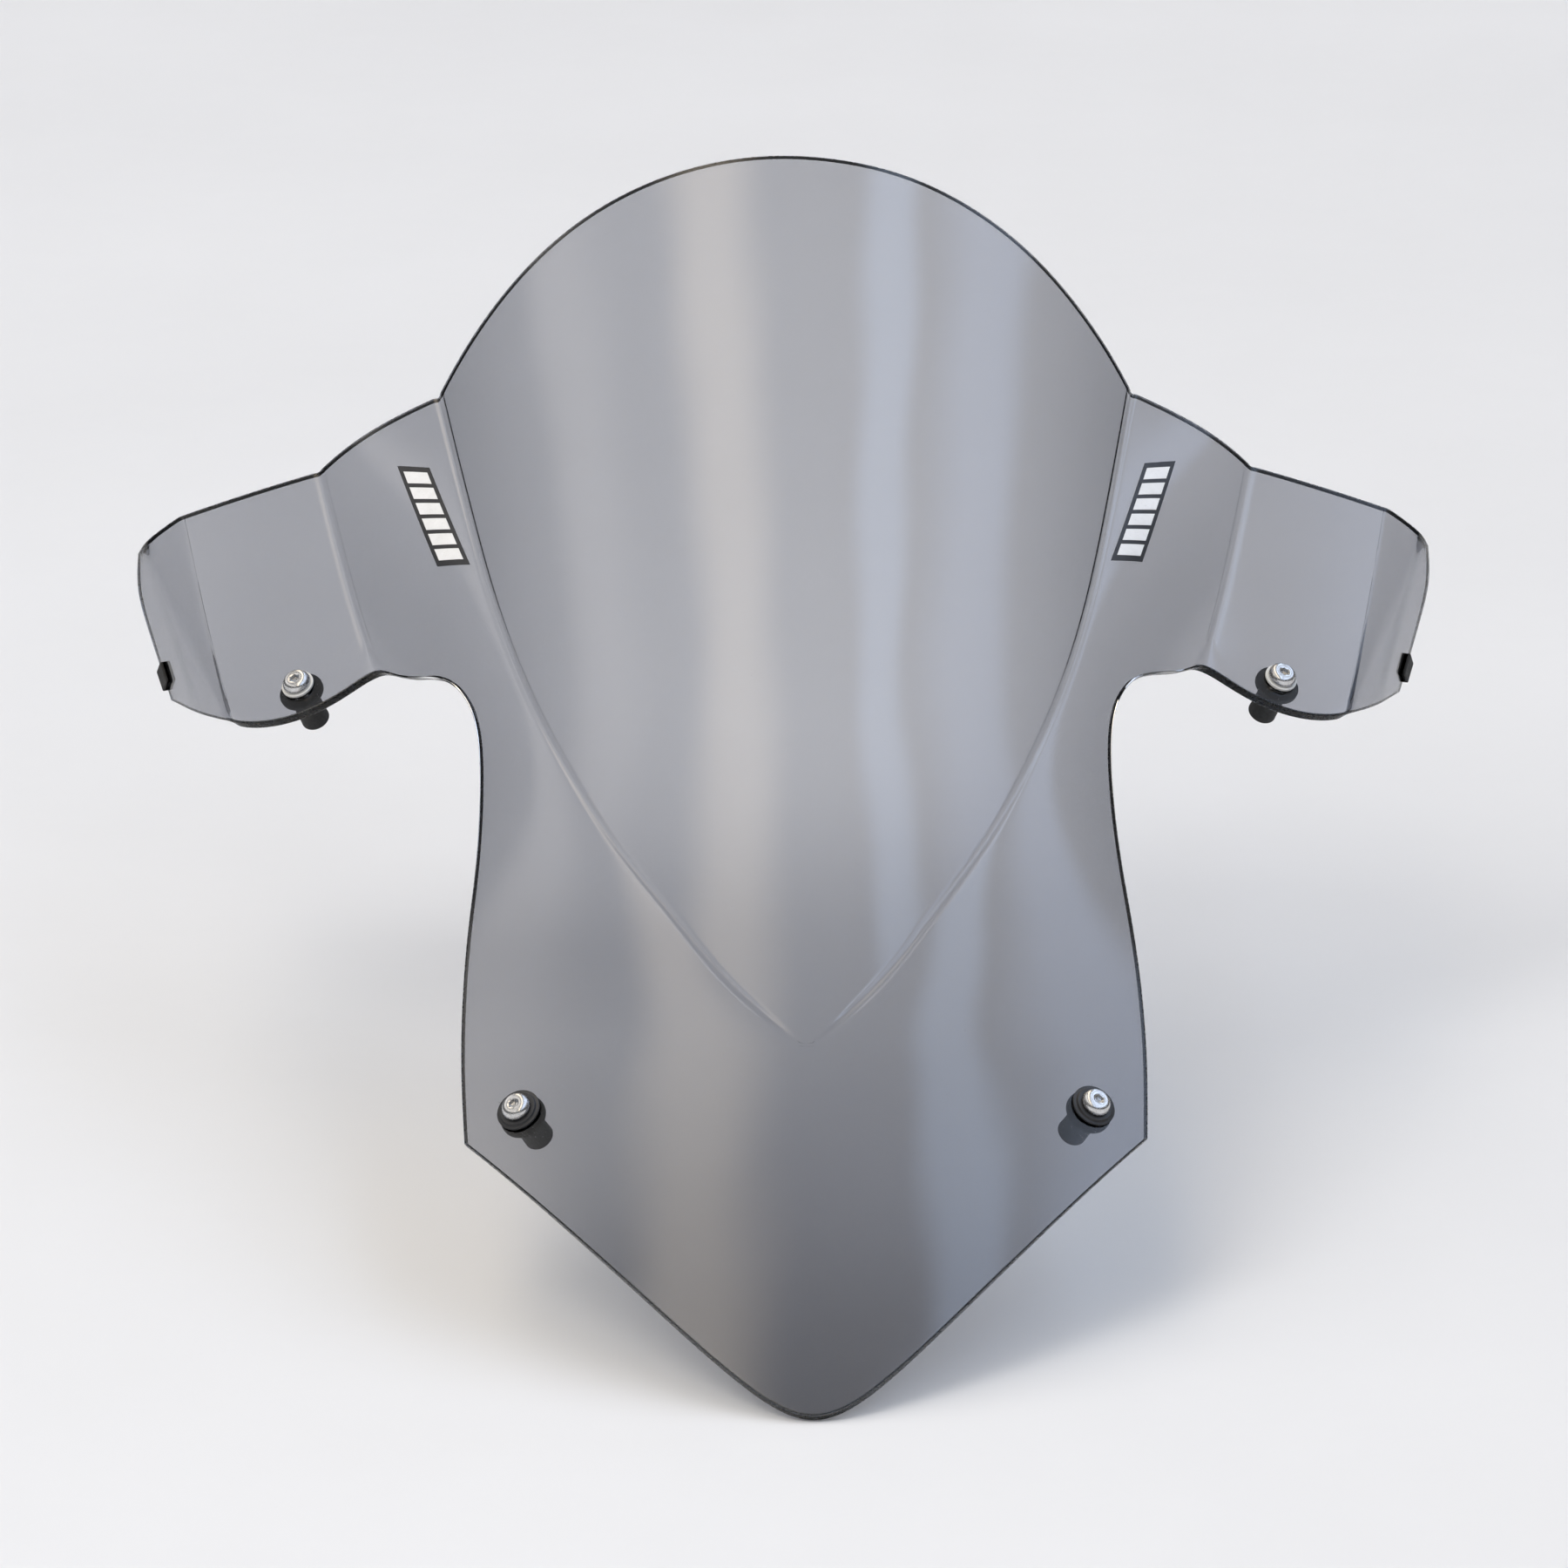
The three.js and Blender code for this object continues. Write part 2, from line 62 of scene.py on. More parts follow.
SHEET_THICKNESS = 3.2
RAKE = math.radians(40)
GAP = 0.3
REAR_GAP = 0.7

CENTRE_HEIGHT = [(-120, 17.5), (18, 18), (120, 16), (205, 11), (300, -3), (381, -17)]
BUBBLE_RADIUS = [(11, 200), (61, 155), (97, 141), (139, 127), (183, 126.5), (252, 132), (318, 142)]
BUBBLE_HALF_WIDTH = [
    (11, 0), (40, 25.5), (61, 39), (97, 59.5), (139, 77), (183, 91), (252, 105.5), (318, 116.5),
]
SHOULDER_START_SLOPE = [(11, 0), (40, 3), (61, 7), (97, 14), (139, 25), (183, 31), (252, 26), (318, 20)]
OUTER_X = [(-130, 108), (0, 108), (60, 112), (105, 114), (150, 119), (219, 138), (302, 157)]
OUTER_HEIGHT = [(-130, -8), (0, -8), (60, -18), (105, -33), (150, -54), (219, -80), (302, -87.5)]
OUTER_SLOPE = [(-130, 27), (0, 27), (60, 34), (105, 43), (150, 53), (219, 57), (302, 46)]

APEX_S = 381
VEE_S = 11
TIP_S = -120
NOTCH_S = 318

ROWS = 36
WING_ROWS = 8
BUBBLE_ROWS = 27
BUBBLE_ROW_BOW = 0.63
SIDE_EDGE = [
    (8, 138, 219), (10, 130, 208), (12, 120, 199), (14, 111, 189), (16, 105.5, 174), (19, 103, 150),
    (23, 104, 111), (27, 107, 76), (32, 109, 28), (36, 108, -7),
]
WING_CREASE_S = [(0, 302), (8, 219)]
ROW_ROUNDING = [(0, 0.05), (18, 0.4), (27, 0.5), (36, 0.18)]
WING_BEND = [(0, 203, 295), (0.5, 196, 257), (1, 186, 207)]
WING_FOLD = [(0, 216, 292.5, -115), (0.5, 209.5, 268, -115), (1, 197, 221, -112)]
WING_RIM = [(0, 218.5, 293, -123), (0.35, 218.5, 281, -128), (0.65, 215, 267, -131), (1, 207, 240, -133)]
WING_TAB_DEPTH = 12
WING_SLOPE = 0.27
WING_CURL = 0.0012
WING_KNEE = 0.15

LOWER_SCREW = (90.4, 0)
WING_SCREW = (163, 216)
SCREW_HOLE_RADIUS = 3.5
# How far to each side of a place its slope is taken from.
SEAT_NUDGE = 0.5

SCREW_DIAMETER = 5
SCREW_LENGTH = 20
SCREW_NECK = 1.5
THREAD_PITCH = 0.8
THREAD_DEPTH = 0.46
THREAD_START_SHARE = 0.8
SCREW_POINT_CHAMFER = 0.7
SCREW_POINT_FLAT = 0.15
SCREW_POINT_RISE = 0.05
NECK_SHARE = 0.93
NECK_FILLET = 0.15
NECK_SHOULDER = 0.25
HEAD_DIAMETER = 9.5
HEAD_HEIGHT = 2.75
HEAD_RIM_HEIGHT = 0.5
HEAD_CROWN_RADIUS = 2.6
HEAD_DOME_POWER = 1.6
HEAD_EDGE = 0.12
SOCKET_ACROSS_CORNERS = 3.46
SOCKET_DEPTH = 1.6
SOCKET_CONE_DEPTH = 0.35
# The socket's worn mouth, as steps out from its corners and down from the head's top.
SOCKET_MOUTH = [(0.28, 0), (0.2, 0.02), (0, 0.16)]
SOCKET_WALL_TOP = 0.3
SOCKET_WALL_INSET = 0.001
STEP_WASHER_DIAMETER = 14.4
STEP_WASHER_THICKNESS = 1.6
STEP_WASHER_RIM_THICKNESS = 0.7
STEP_WASHER_SLOPE = 1.2
STEP_WASHER_FOOT = (0.25, 0.08)
STEP_WASHER_ROUNDING = 0.22
SLEEVE_SHORT_OF_REAR = 0.5
FLAT_WASHER_DIAMETER = 11
FLAT_WASHER_THICKNESS = 1
FLAT_WASHER_ROUNDING = 0.25
WELL_NUT_FLANGE_DIAMETER = 15
WELL_NUT_FLANGE_THICKNESS = 1.6
WELL_NUT_BODY_DIAMETER = 9.6
WELL_NUT_LENGTH = 14
WELL_NUT_CHAMFER = 0.6
WELL_NUT_ROUNDING = 0.35
WELL_NUT_PLAIN_ENDS = (1.2, 0.6)
WELL_NUT_RINGS = 16
MOULD_RIDGE_HEIGHT = 0.1
MOULD_RIDGE_HALF_WIDTH = 0.25
WELL_NUT_SWELL = 0.12
INSERT_DIAMETER = 7.2
INSERT_LENGTH = 7
INSERT_CHAMFER = (0.3, 0.4)
INSERT_BORE_CHAMFER = (0.35, 0.5)
INSERT_KNURLED_LENGTH = 2.6
INSERT_WAIST = (0.5, 2.9)
INSERT_RINGS = 48
INSERT_THREAD_DEPTH = 0.22
KNURLS = 24
KNURL_DEPTH = 0.14

MARK_S = (288, 238)
MARK_FROM_FOOT = (13, 8)
MARK_WIDTH = 10
MARK_SLANT = 5
MARK_BARS = 6
MARK_BAR_SHARE = 0.74
MARK_MARGIN = 0.035
MARK_SIDE_MARGIN = 0.13
FILM_LIFT = 0.08
FILM_THICKNESS = 0.14
FILM_EDGE_SHARE = 0.4
FILM_ROWS = 40
FILM_COLUMNS = 5

BUFFER_PLACE = 0.9
BUFFER_LENGTH = 8
BUFFER_DEPTH = 5
BUFFER_WALL = 1
BUFFER_NUDGE = 0.05
BUFFER_ROUNDING = 0.45
BUFFER_ROUNDING_STEPS = 4
# The domed ends, as steps in from the outline and along from the end.
BUFFER_DOME = [(0.35, 0), (0.2, 0.08), (0.08, 0.2), (0, 0.4)]
BUFFER_RINGS = (-2, -1, 0, 1, 2)

SIDES = [("left", -1), ("right", 1)]

# How finely the visible sheet is drawn: lines for each row of the plan above, and lines across each stretch.
ROW_STEPS = 6
BUBBLE_COLUMNS = 44
SHOULDER_COLUMNS = 46
PLATE_COLUMNS = 26
BEND_COLUMNS = 16
FLANGE_COLUMNS = 10
EDGE_RADIUS = 0.7
EDGE_STEPS = 4
# How much closer together the lines run at both ends of a stretch, and at one end.
CROWDING = 0.72
CROWDING_POWER = 1.7
SEWING_DISTANCE = 0.004
RELAX_SHARE = 0.5
HOLE_SIDES = 48
HOLE_RINGS = (0, 0.5, 1.4)
HOLE_CLEARING = 1.7
HOLE_SETTLING_ROUNDS = 4
FOOT_PLACES = 120
WING_LINE_PLACES = 30
CREASE_REACH = 2
CREASE_ROUNDS = 3
FOLD_REACH = 5
FOLD_ROUNDS = 40
FAIRING_ROUNDS = 2
LOWER_EDGE_REACH = 12
LOWER_EDGE_ROUNDS = 40
LOWER_EDGE_PLACES = (7, 9, 4)
SHOULDER_CORNER_ROWS = (14.5, 8)
FOOT_FURROW = 0.34
WING_FURROW = 0.26
FURROW_HALF_WIDTH = 1.0
FURROW_END = 0
FURROW_FADE = 12
# Each wave's height and its lengths along X, Y and Z.
WAVES = [(0.06, (74, 230, -310)), (0.05, (-52, 120, 150)), (0.04, (95, -66, 80))]
THINNING = 0.8
THINNING_REACH = 140
SCREW_SIDES = 60
HEAD_DOME_STEPS = 12
THREAD_RINGS = 6
WASHER_SIDES = 64
WELL_NUT_SIDES = 64
INSERT_SIDES = 96
SHARP_ANGLE = 38
NORMAL_WEIGHT = 50
CORNER_STEPS = 3
CORNER_REACH = 0.4
ON_AXIS = 1e-6

# The studio, in metres and degrees.
FLOOR_SIZE = 28
SKY_STRENGTH = 0.52
SKY_TONES = [
    (0.0, (1.55, 1.56, 1.58)), (0.05, (1.0, 1.01, 1.03)), (0.12, (0.16, 0.163, 0.17)),
    (0.28, (0.22, 0.223, 0.23)), (0.55, (0.80, 0.81, 0.83)), (1.0, (1.0, 1.0, 1.02)),
]
SKY_HORIZON = 0.05
SKY_OVERHEAD = (0.3, 0.6)
# Each window of the sky: its place across at unit height, half its width, its edge's fade, and its light.
SKY_WINDOWS = [(-0.24, 0.03, 0.22, (4.2, 3.6, 2.8)), (0.40, 0.04, 0.12, (2.2, 2.8, 3.8)),
               (0.95, 0.10, 0.35, (1.6, 2.0, 2.8)), (-1.0, 0.05, 0.4, (1.8, 1.7, 1.6))]
KEY_SIZE = 1.6
KEY_POWER = 30
KEY_PLACE = (-1.6, -1.4, 2.6)
KEY_COLOUR = (1, 0.98, 0.95)
CAMERA_DIRECTION = (-1.3, 20)
CAMERA_DISTANCE = 3.5
CAMERA_OFFSET = (-0.0079, -0.0128, -0.0351)
CAMERA_AIM = (-0.004, 0.03, -0.017)
CAMERA_LENS = 255
CAMERA_SENSOR = 36
CAMERA_CLIP_END = 100


# ---------------------------------------------------------------- smooth curves through given places


def spline(knots):
    """A natural cubic spline through (position, value) pairs, straight beyond its ends."""
    at, value = np.array(knots, float).T
    step = np.diff(at)
    rise = np.diff(value) / step
    bend = np.zeros(len(at))
    if len(at) > 2:
        matrix = np.diag(2 * (step[:-1] + step[1:])) + np.diag(step[1:-1], 1) + np.diag(step[1:-1], -1)
        bend[1:-1] = np.linalg.solve(matrix, 6 * np.diff(rise))

    def curve(position):
        position = np.asarray(position, float)
        inside = np.clip(position, at[0], at[-1])
        i = np.clip(np.searchsorted(at, inside, side="right") - 1, 0, len(step) - 1)
        h = step[i]
        a = (at[i + 1] - inside) / h
        b = 1 - a
        bow = ((a**3 - a) * bend[i] + (b**3 - b) * bend[i + 1]) * h * h / 6
        slope = rise[i] + ((3 * b * b - 1) * bend[i + 1] - (3 * a * a - 1) * bend[i]) * h / 6
        return a * value[i] + b * value[i + 1] + bow + slope * (position - inside)

    return curve


def column(table, index):
    return spline([(row[0], row[index]) for row in table])


def mix(a, b, t):
    return a + (b - a) * t


centre_height = spline(CENTRE_HEIGHT)
bubble_radius = spline(BUBBLE_RADIUS)
bubble_half_width = spline(BUBBLE_HALF_WIDTH)
shoulder_start_slope = spline([(s, math.radians(angle)) for s, angle in SHOULDER_START_SLOPE])
outer_x = spline(OUTER_X)
outer_height = spline(OUTER_HEIGHT)
outer_slope = spline([(s, math.radians(angle)) for s, angle in OUTER_SLOPE])
centre_line = spline([(0, APEX_S), (BUBBLE_ROWS, VEE_S), (ROWS, TIP_S)])
side_x = column(SIDE_EDGE, 1)
side_s = column(SIDE_EDGE, 2)
wing_crease_s = spline(WING_CREASE_S)
row_rounding = spline(ROW_ROUNDING)
bend_line = [column(WING_BEND, i) for i in (1, 2)]
fold_line = [column(WING_FOLD, i) for i in (1, 2, 3)]
rim_line = [column(WING_RIM, i) for i in (1, 2, 3)]


# ---------------------------------------------------------------- the sheet's outer face


def place(x, s, n):
    """Points in the row frame, in millimetres, from places on the sheet."""
    x, s, n = np.broadcast_arrays(x, s, n)
    return np.stack([x, s * math.cos(RAKE) - n * math.sin(RAKE), s * math.sin(RAKE) + n * math.cos(RAKE)], -1)


def bubble_height(x, s):
    radius = bubble_radius(s)
    return centre_height(s) - radius + np.sqrt(radius * radius - x * x)


def base_height(x, s):
    """The shoulders and the nose: a curve from the bubble's foot to the outer line, with a slope at each."""
    raised = s > VEE_S
    x0 = np.where(raised, bubble_half_width(s), 0)
    n0 = np.where(raised, bubble_height(x0, s), centre_height(s))
    span = outer_x(s) - x0
    start_rise = np.where(raised, -np.tan(shoulder_start_slope(s)) * span, 0)
    end_rise = -np.tan(outer_slope(s)) * span
    q = (x - x0) / span
    start = (1 + 2 * q) * (1 - q) ** 2
    return (start * n0 + (1 - start) * outer_height(s)
            + q * (1 - q) ** 2 * start_rise + q * q * (q - 1) * end_rise)


def bubble_foot(row):
    return mix(NOTCH_S, VEE_S, row / BUBBLE_ROWS)


def bubble_point(row, across):
    foot_s = bubble_foot(row)
    half_width = np.maximum(bubble_half_width(foot_s), 0)
    radius = bubble_radius(foot_s)
    x = radius * np.sin(across * np.arcsin(half_width / radius))
    q = np.divide(x, half_width, out=np.zeros_like(x), where=half_width > 0)
    s = mix(centre_line(row), foot_s, BUBBLE_ROW_BOW * q**2 + (1 - BUBBLE_ROW_BOW) * q**4)
    return place(x, s, bubble_height(x, s))


def base_point(row, across):
    start_s = np.where(row < BUBBLE_ROWS, bubble_foot(row), centre_line(row))
    start_x = np.where(row < BUBBLE_ROWS, bubble_half_width(start_s), 0)
    end_s = np.where(row <= WING_ROWS, wing_crease_s(row), side_s(row))
    end_x = np.where(row <= WING_ROWS, outer_x(end_s), side_x(row))
    c = row_rounding(row)
    sweep = (np.hypot(1, across / c) - 1) / (np.hypot(1, 1 / c) - 1)
    x = mix(start_x, end_x, across)
    s = mix(start_s, end_s, sweep)
    return place(x, s, base_height(x, s))


def plate_height(x, s):
    """The wing's plate falls away from the crease at the shoulder, a little faster towards the bend."""
    run = x - outer_x(s)
    return outer_height(s) - WING_SLOPE * run - WING_CURL * run * run


def plate_point(row, across):
    """The plate reaches lowest between the crease and the bend, in the tab for the wing screw."""
    down = row / WING_ROWS
    crease_s = wing_crease_s(row)
    x = mix(outer_x(crease_s), bend_line[0](down), across)
    tab = WING_TAB_DEPTH * down**2 * 4 * across * (1 - across)
    s = mix(crease_s, bend_line[1](down), across) - tab
    return place(x, s, plate_height(x, s))


def bend_point(row, across):
    """The rounded bend from the plate to the fold, which leaves the plate in the plate's own direction."""
    down = row / WING_ROWS
    x, s = [part(down) for part in bend_line]
    end = [part(down) for part in fold_line]
    reach = WING_KNEE * (end[0] - x)
    start = [x, s, plate_height(x, s)]
    knee = [x + reach, s, 2 * plate_height(x, s) - plate_height(x - reach, s)]
    return place(*[mix(mix(a, k, across), mix(k, b, across), across) for a, k, b in zip(start, knee, end)])


def flange_point(row, across):
    down = row / WING_ROWS
    return place(*[mix(a(down), b(down), across) for a, b in zip(fold_line, rim_line)])


# ---------------------------------------------------------------- meshes as points and faces


def spread(count, at_start, at_end):
    """Numbers from 0 to 1, closer together towards the ends that are true."""
    t = np.linspace(0, 1, count + 1)
    if at_start and at_end:
        return t - CROWDING * np.sin(2 * math.pi * t) / (2 * math.pi)
    if at_start:
        return t**CROWDING_POWER
    return 1 - (1 - t) ** CROWDING_POWER if at_end else t


def grid(rows, columns, point_at):
    """The points of one patch and its quads, for the side of the machine at +X."""
    points = point_at(rows[:, None], columns[None, :])
    index = np.arange(points.shape[0] * points.shape[1]).reshape(points.shape[:2])
    quads = np.stack([index[:-1, :-1], index[1:, :-1], index[1:, 1:], index[:-1, 1:]], -1).reshape(-1, 4)
    return points.reshape(-1, 3), quads


def mirrored(points, quads):
    return points * (-1, 1, 1), quads[:, ::-1]


def joined(patches):
    """Patches sewn into one surface where their points meet, as an array of points and a list of faces."""
    bm = bmesh.new()
    for points, quads in patches:
        verts = [bm.verts.new(p) for p in points]
        for quad in quads:
            bm.faces.new([verts[i] for i in quad])
    bmesh.ops.remove_doubles(bm, verts=bm.verts, dist=SEWING_DISTANCE)
    bm.verts.index_update()
    points = np.array([v.co for v in bm.verts], float)
    faces = [[v.index for v in f.verts] for f in bm.faces]
    bm.free()
    return points, faces


def edges_of(faces):
    """Each edge once, as the faces run round it, and whether it is on the open border."""
    seen = {}
    for face in faces:
        for a, b in zip(face, face[1:] + face[:1]):
            seen.setdefault((min(a, b), max(a, b)), []).append((a, b))
    runs = np.array([run[0] for run in seen.values()])
    border = np.array([len(run) == 1 for run in seen.values()])
    return runs, border


def relax(points, faces, weight, rounds):
    """Draws each point to its neighbours' middle, by its weight. Border points look only along the border."""
    runs, border = edges_of(faces)
    on_border = np.zeros(len(points), bool)
    on_border[runs[border].ravel()] = True
    both = np.concatenate([runs, runs[:, ::-1]])
    along = np.concatenate([border, border])
    both = both[along | ~on_border[both[:, 0]]]
    count = np.bincount(both[:, 0], minlength=len(points))
    for _ in range(rounds):
        total = np.zeros_like(points)
        np.add.at(total, both[:, 0], points[both[:, 1]])
        points = points + RELAX_SHARE * weight[:, None] * (total / count[:, None] - points)
    return points


def normals_of(points, faces):
    total = np.zeros_like(points)
    for size in (3, 4):
        some = np.array([f for f in faces if len(f) == size])
        if len(some):
            a, b = (points[some[:, 2]] - points[some[:, 0]]), (points[some[:, -1]] - points[some[:, 1]])
            face_normals = np.cross(a, b)
            for i in range(size):
                np.add.at(total, some[:, i], face_normals)
    return total / np.linalg.norm(total, axis=1)[:, None]


def nearest(points, line):
    """How far each point is from a line of places, by the straight stretches between them."""
    gap = np.full(len(points), 1e9)
    for start, end in zip(line[:-1], line[1:]):
        way = end - start
        length = max(way @ way, 1e-9)
        share = np.clip((points - start) @ way / length, 0, 1)
        gap = np.minimum(gap, np.linalg.norm(points - start - share[:, None] * way, axis=1))
    return gap


def near_line(points, line, reach):
    """How near each point is to a line of places: 1 on it, falling smoothly to 0 at reach."""
    t = np.clip(1 - nearest(points, line) / reach, 0, 1)
    return t * t * (3 - 2 * t)


# ---------------------------------------------------------------- where the hardware stands


def seat(height, x, s, side):
    """The place and the axes of the outer face at x, s: its Z points out of the sheet."""
    nudge = SEAT_NUDGE
    along = place(x, s + nudge, height(x, s + nudge)) - place(x, s - nudge, height(x, s - nudge))
    across = place(x + nudge, s, height(x + nudge, s)) - place(x - nudge, s, height(x - nudge, s))
    spot = place(x, s, height(x, s)) * (side, 1, 1)
    outward = np.cross(across, along) * (side, 1, 1)
    outward /= np.linalg.norm(outward)
    level = np.cross((0, 0, 1), outward)
    level /= np.linalg.norm(level)
    return spot, np.stack([level, np.cross(outward, level), outward])


def cut_hole(points, faces, height, spot, axes, radius):
    """Opens a round hole with an even ring of faces round it, on the surface that height gives."""
    clear = radius * HOLE_CLEARING
    local = (points - spot) @ axes.T
    close = (np.hypot(local[:, 0], local[:, 1]) < clear) & (np.abs(local[:, 2]) < clear)
    kept = [f for f in faces if not any(close[i] for i in f)]
    runs, border = edges_of(kept)
    follow = {a: b for (a, b), open_edge in zip(runs.tolist(), border) if open_edge}
    reach = np.linalg.norm(local, axis=1)
    start = min(follow, key=lambda i: reach[i])
    loop = [start]
    while follow[loop[-1]] != start:
        loop.append(follow[loop[-1]])
    sides = HOLE_SIDES
    turns = np.arange(sides) * 2 * math.pi / sides
    rings = []
    for r in (radius + wider for wider in HOLE_RINGS):
        ring = spot + r * (np.cos(turns)[:, None] * axes[0] + np.sin(turns)[:, None] * axes[1])
        for _ in range(HOLE_SETTLING_ROUNDS):
            s = ring[:, 1] * math.cos(RAKE) + ring[:, 2] * math.sin(RAKE)
            n = ring[:, 2] * math.cos(RAKE) - ring[:, 1] * math.sin(RAKE)
            lift = height(np.abs(ring[:, 0]), s) - n
            ring = ring + lift[:, None] * axes[2] * math.cos(math.atan2(abs(axes[2][0]), 1))
        rings.append(len(points) + np.arange(sides))
        points = np.concatenate([points, ring])
    for inner, outer in zip(rings, rings[1:]):
        for i in range(sides):
            j = (i + 1) % sides
            kept.append([inner[i], outer[i], outer[j], inner[j]])
    angle = np.arctan2(local[loop, 1], local[loop, 0]) % (2 * math.pi)
    if np.median(np.diff(angle)) < 0:
        loop, angle = loop[::-1], angle[::-1]
    first = int(np.argmin(angle))
    loop, angle = loop[first:] + loop[:first], np.unwrap(np.roll(angle, -first))
    i = j = 0
    outer = rings[-1]
    while i < sides or j < len(loop):
        next_ring = turns[i + 1] if i + 1 < sides else 2 * math.pi + turns[0]
        next_loop = angle[j + 1] if j + 1 < len(loop) else 2 * math.pi + angle[0]
        a, b = outer[i % sides], loop[j % len(loop)]
        if j >= len(loop) or (i < sides and next_ring <= next_loop):
            kept.append([a, b, outer[(i + 1) % sides]])
            i += 1
        else:
            kept.append([a, b, loop[(j + 1) % len(loop)]])
            j += 1
    return points, [[int(v) for v in f] for f in kept]


def thickened(points, faces, thickness, radius, steps):
    """Both faces of a sheet and a rounded edge round each border: points, the two faces, the edge's faces."""
    normals = normals_of(points, faces)
    thickness = np.broadcast_to(thickness, len(points))[:, None]
    runs, border = edges_of(faces)
    outward = np.zeros_like(points)
    for a, b in runs[border]:
        way = np.cross(points[b] - points[a], normals[a] + normals[b])
        outward[a] += way
        outward[b] += way
    on_border = np.linalg.norm(outward, axis=1) > 0
    outward[on_border] /= np.linalg.norm(outward[on_border], axis=1)[:, None]
    profile = []
    for step in range(steps + 1):
        turn = step / steps * math.pi / 2
        profile.append((radius * (1 - math.sin(turn)), radius * (1 - math.cos(turn))))
    rim = np.flatnonzero(on_border)
    rings = []
    for inset, depth in profile:
        rings.append(points[rim] - outward[rim] * inset - normals[rim] * depth)
    for inset, depth in reversed(profile):
        rings.append(points[rim] - outward[rim] * inset - normals[rim] * (thickness[rim] - depth))
    front = points.copy()
    front[rim] = rings[0]
    back = points - normals * thickness
    back[rim] = rings[-1]
    count = len(points)
    every = [front, back] + rings[1:-1]
    place_of = {int(v): i for i, v in enumerate(rim)}

    def at(v, ring):
        if ring == 0:
            return int(v)
        if ring == len(rings) - 1:
            return int(v) + count
        return 2 * count + (ring - 1) * len(rim) + place_of[int(v)]

    body = faces + [[v + count for v in reversed(f)] for f in faces]
    wall = [[at(b, k), at(a, k), at(a, k + 1), at(b, k + 1)]
            for a, b in runs[border] for k in range(len(rings) - 1)]
    return np.concatenate(every), body, wall


# ---------------------------------------------------------------- Blender objects


def volume_of(points, faces):
    """Six times the volume that the faces close in: below zero if they face inwards."""
    corners = [(face[0], face[i], face[i + 1]) for face in faces for i in range(1, len(face) - 1)]
    a, b, c = (points[[corner[k] for corner in corners]] for k in range(3))
    return np.einsum("ij,ij->", a, np.cross(b, c))


def add_mesh(name, points, faces, materials, slots=None, smooth=True):
    """An object in metres from points in millimetres, with one material, or one for each face by slots."""
    points = np.asarray(points, float)
    if volume_of(points, faces) < 0:
        faces = [face[::-1] for face in faces]
    mesh = bpy.data.meshes.new(name)
    mesh.from_pydata((points * MM).tolist(), [], faces)
    for material in materials:
        mesh.materials.append(material)
    if slots is not None:
        mesh.polygons.foreach_set("material_index", slots)
    mesh.polygons.foreach_set("use_smooth", [smooth] * len(mesh.polygons))
    mesh.validate()
    mesh.update()
    piece = bpy.data.objects.new(name, mesh)
    bpy.context.scene.collection.objects.link(piece)
    return piece


def weigh_normals(piece, sharp_angle=None):
    """Keeps large faces flat-looking beside small rounded edges, and sharp where faces meet past an angle."""
    if sharp_angle is not None:
        piece.data.set_sharp_from_angle(angle=math.radians(sharp_angle))
    modifier = piece.modifiers.new("weighted", "WEIGHTED_NORMAL")
    modifier.keep_sharp = True
    modifier.weight = NORMAL_WEIGHT


def stand_in(piece, node):
    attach(piece, "root")
    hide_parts(node)


# ---------------------------------------------------------------- materials


class Nodes:
    """Short calls for building a node tree."""

    def __init__(self, tree):
        self.tree = tree

    def node(self, kind, **settings):
        made = self.tree.nodes.new(kind)
        for key, value in settings.items():
            setattr(made, key, value)
        return made

    def link(self, source, target):
        self.tree.links.new(source, target)

    def ranged(self, source, low, high, to_low, to_high):
        made = self.node("ShaderNodeMapRange", interpolation_type="SMOOTHSTEP")
        for socket, value in zip(("From Min", "From Max", "To Min", "To Max"), (low, high, to_low, to_high)):
            made.inputs[socket].default_value = value
        self.link(source, made.inputs["Value"])
        return made.outputs["Result"]

    def sum(self, a, b, operation="ADD"):
        made = self.node("ShaderNodeMath", operation=operation)
        for socket, value in zip(made.inputs, (a, b)):
            if isinstance(value, (int, float)):
                socket.default_value = value
            else:
                self.link(value, socket)
        return made.outputs["Value"]

    def colours(self, source, stops):
        made = self.node("ShaderNodeValToRGB")
        ramp = made.color_ramp
        while len(ramp.elements) < len(stops):
            ramp.elements.new(0.5)
        for element, (at, colour) in zip(ramp.elements, stops):
            element.position = at
            element.color = (*colour, 1)
        self.link(source, made.inputs["Fac"])
        return made.outputs["Color"]


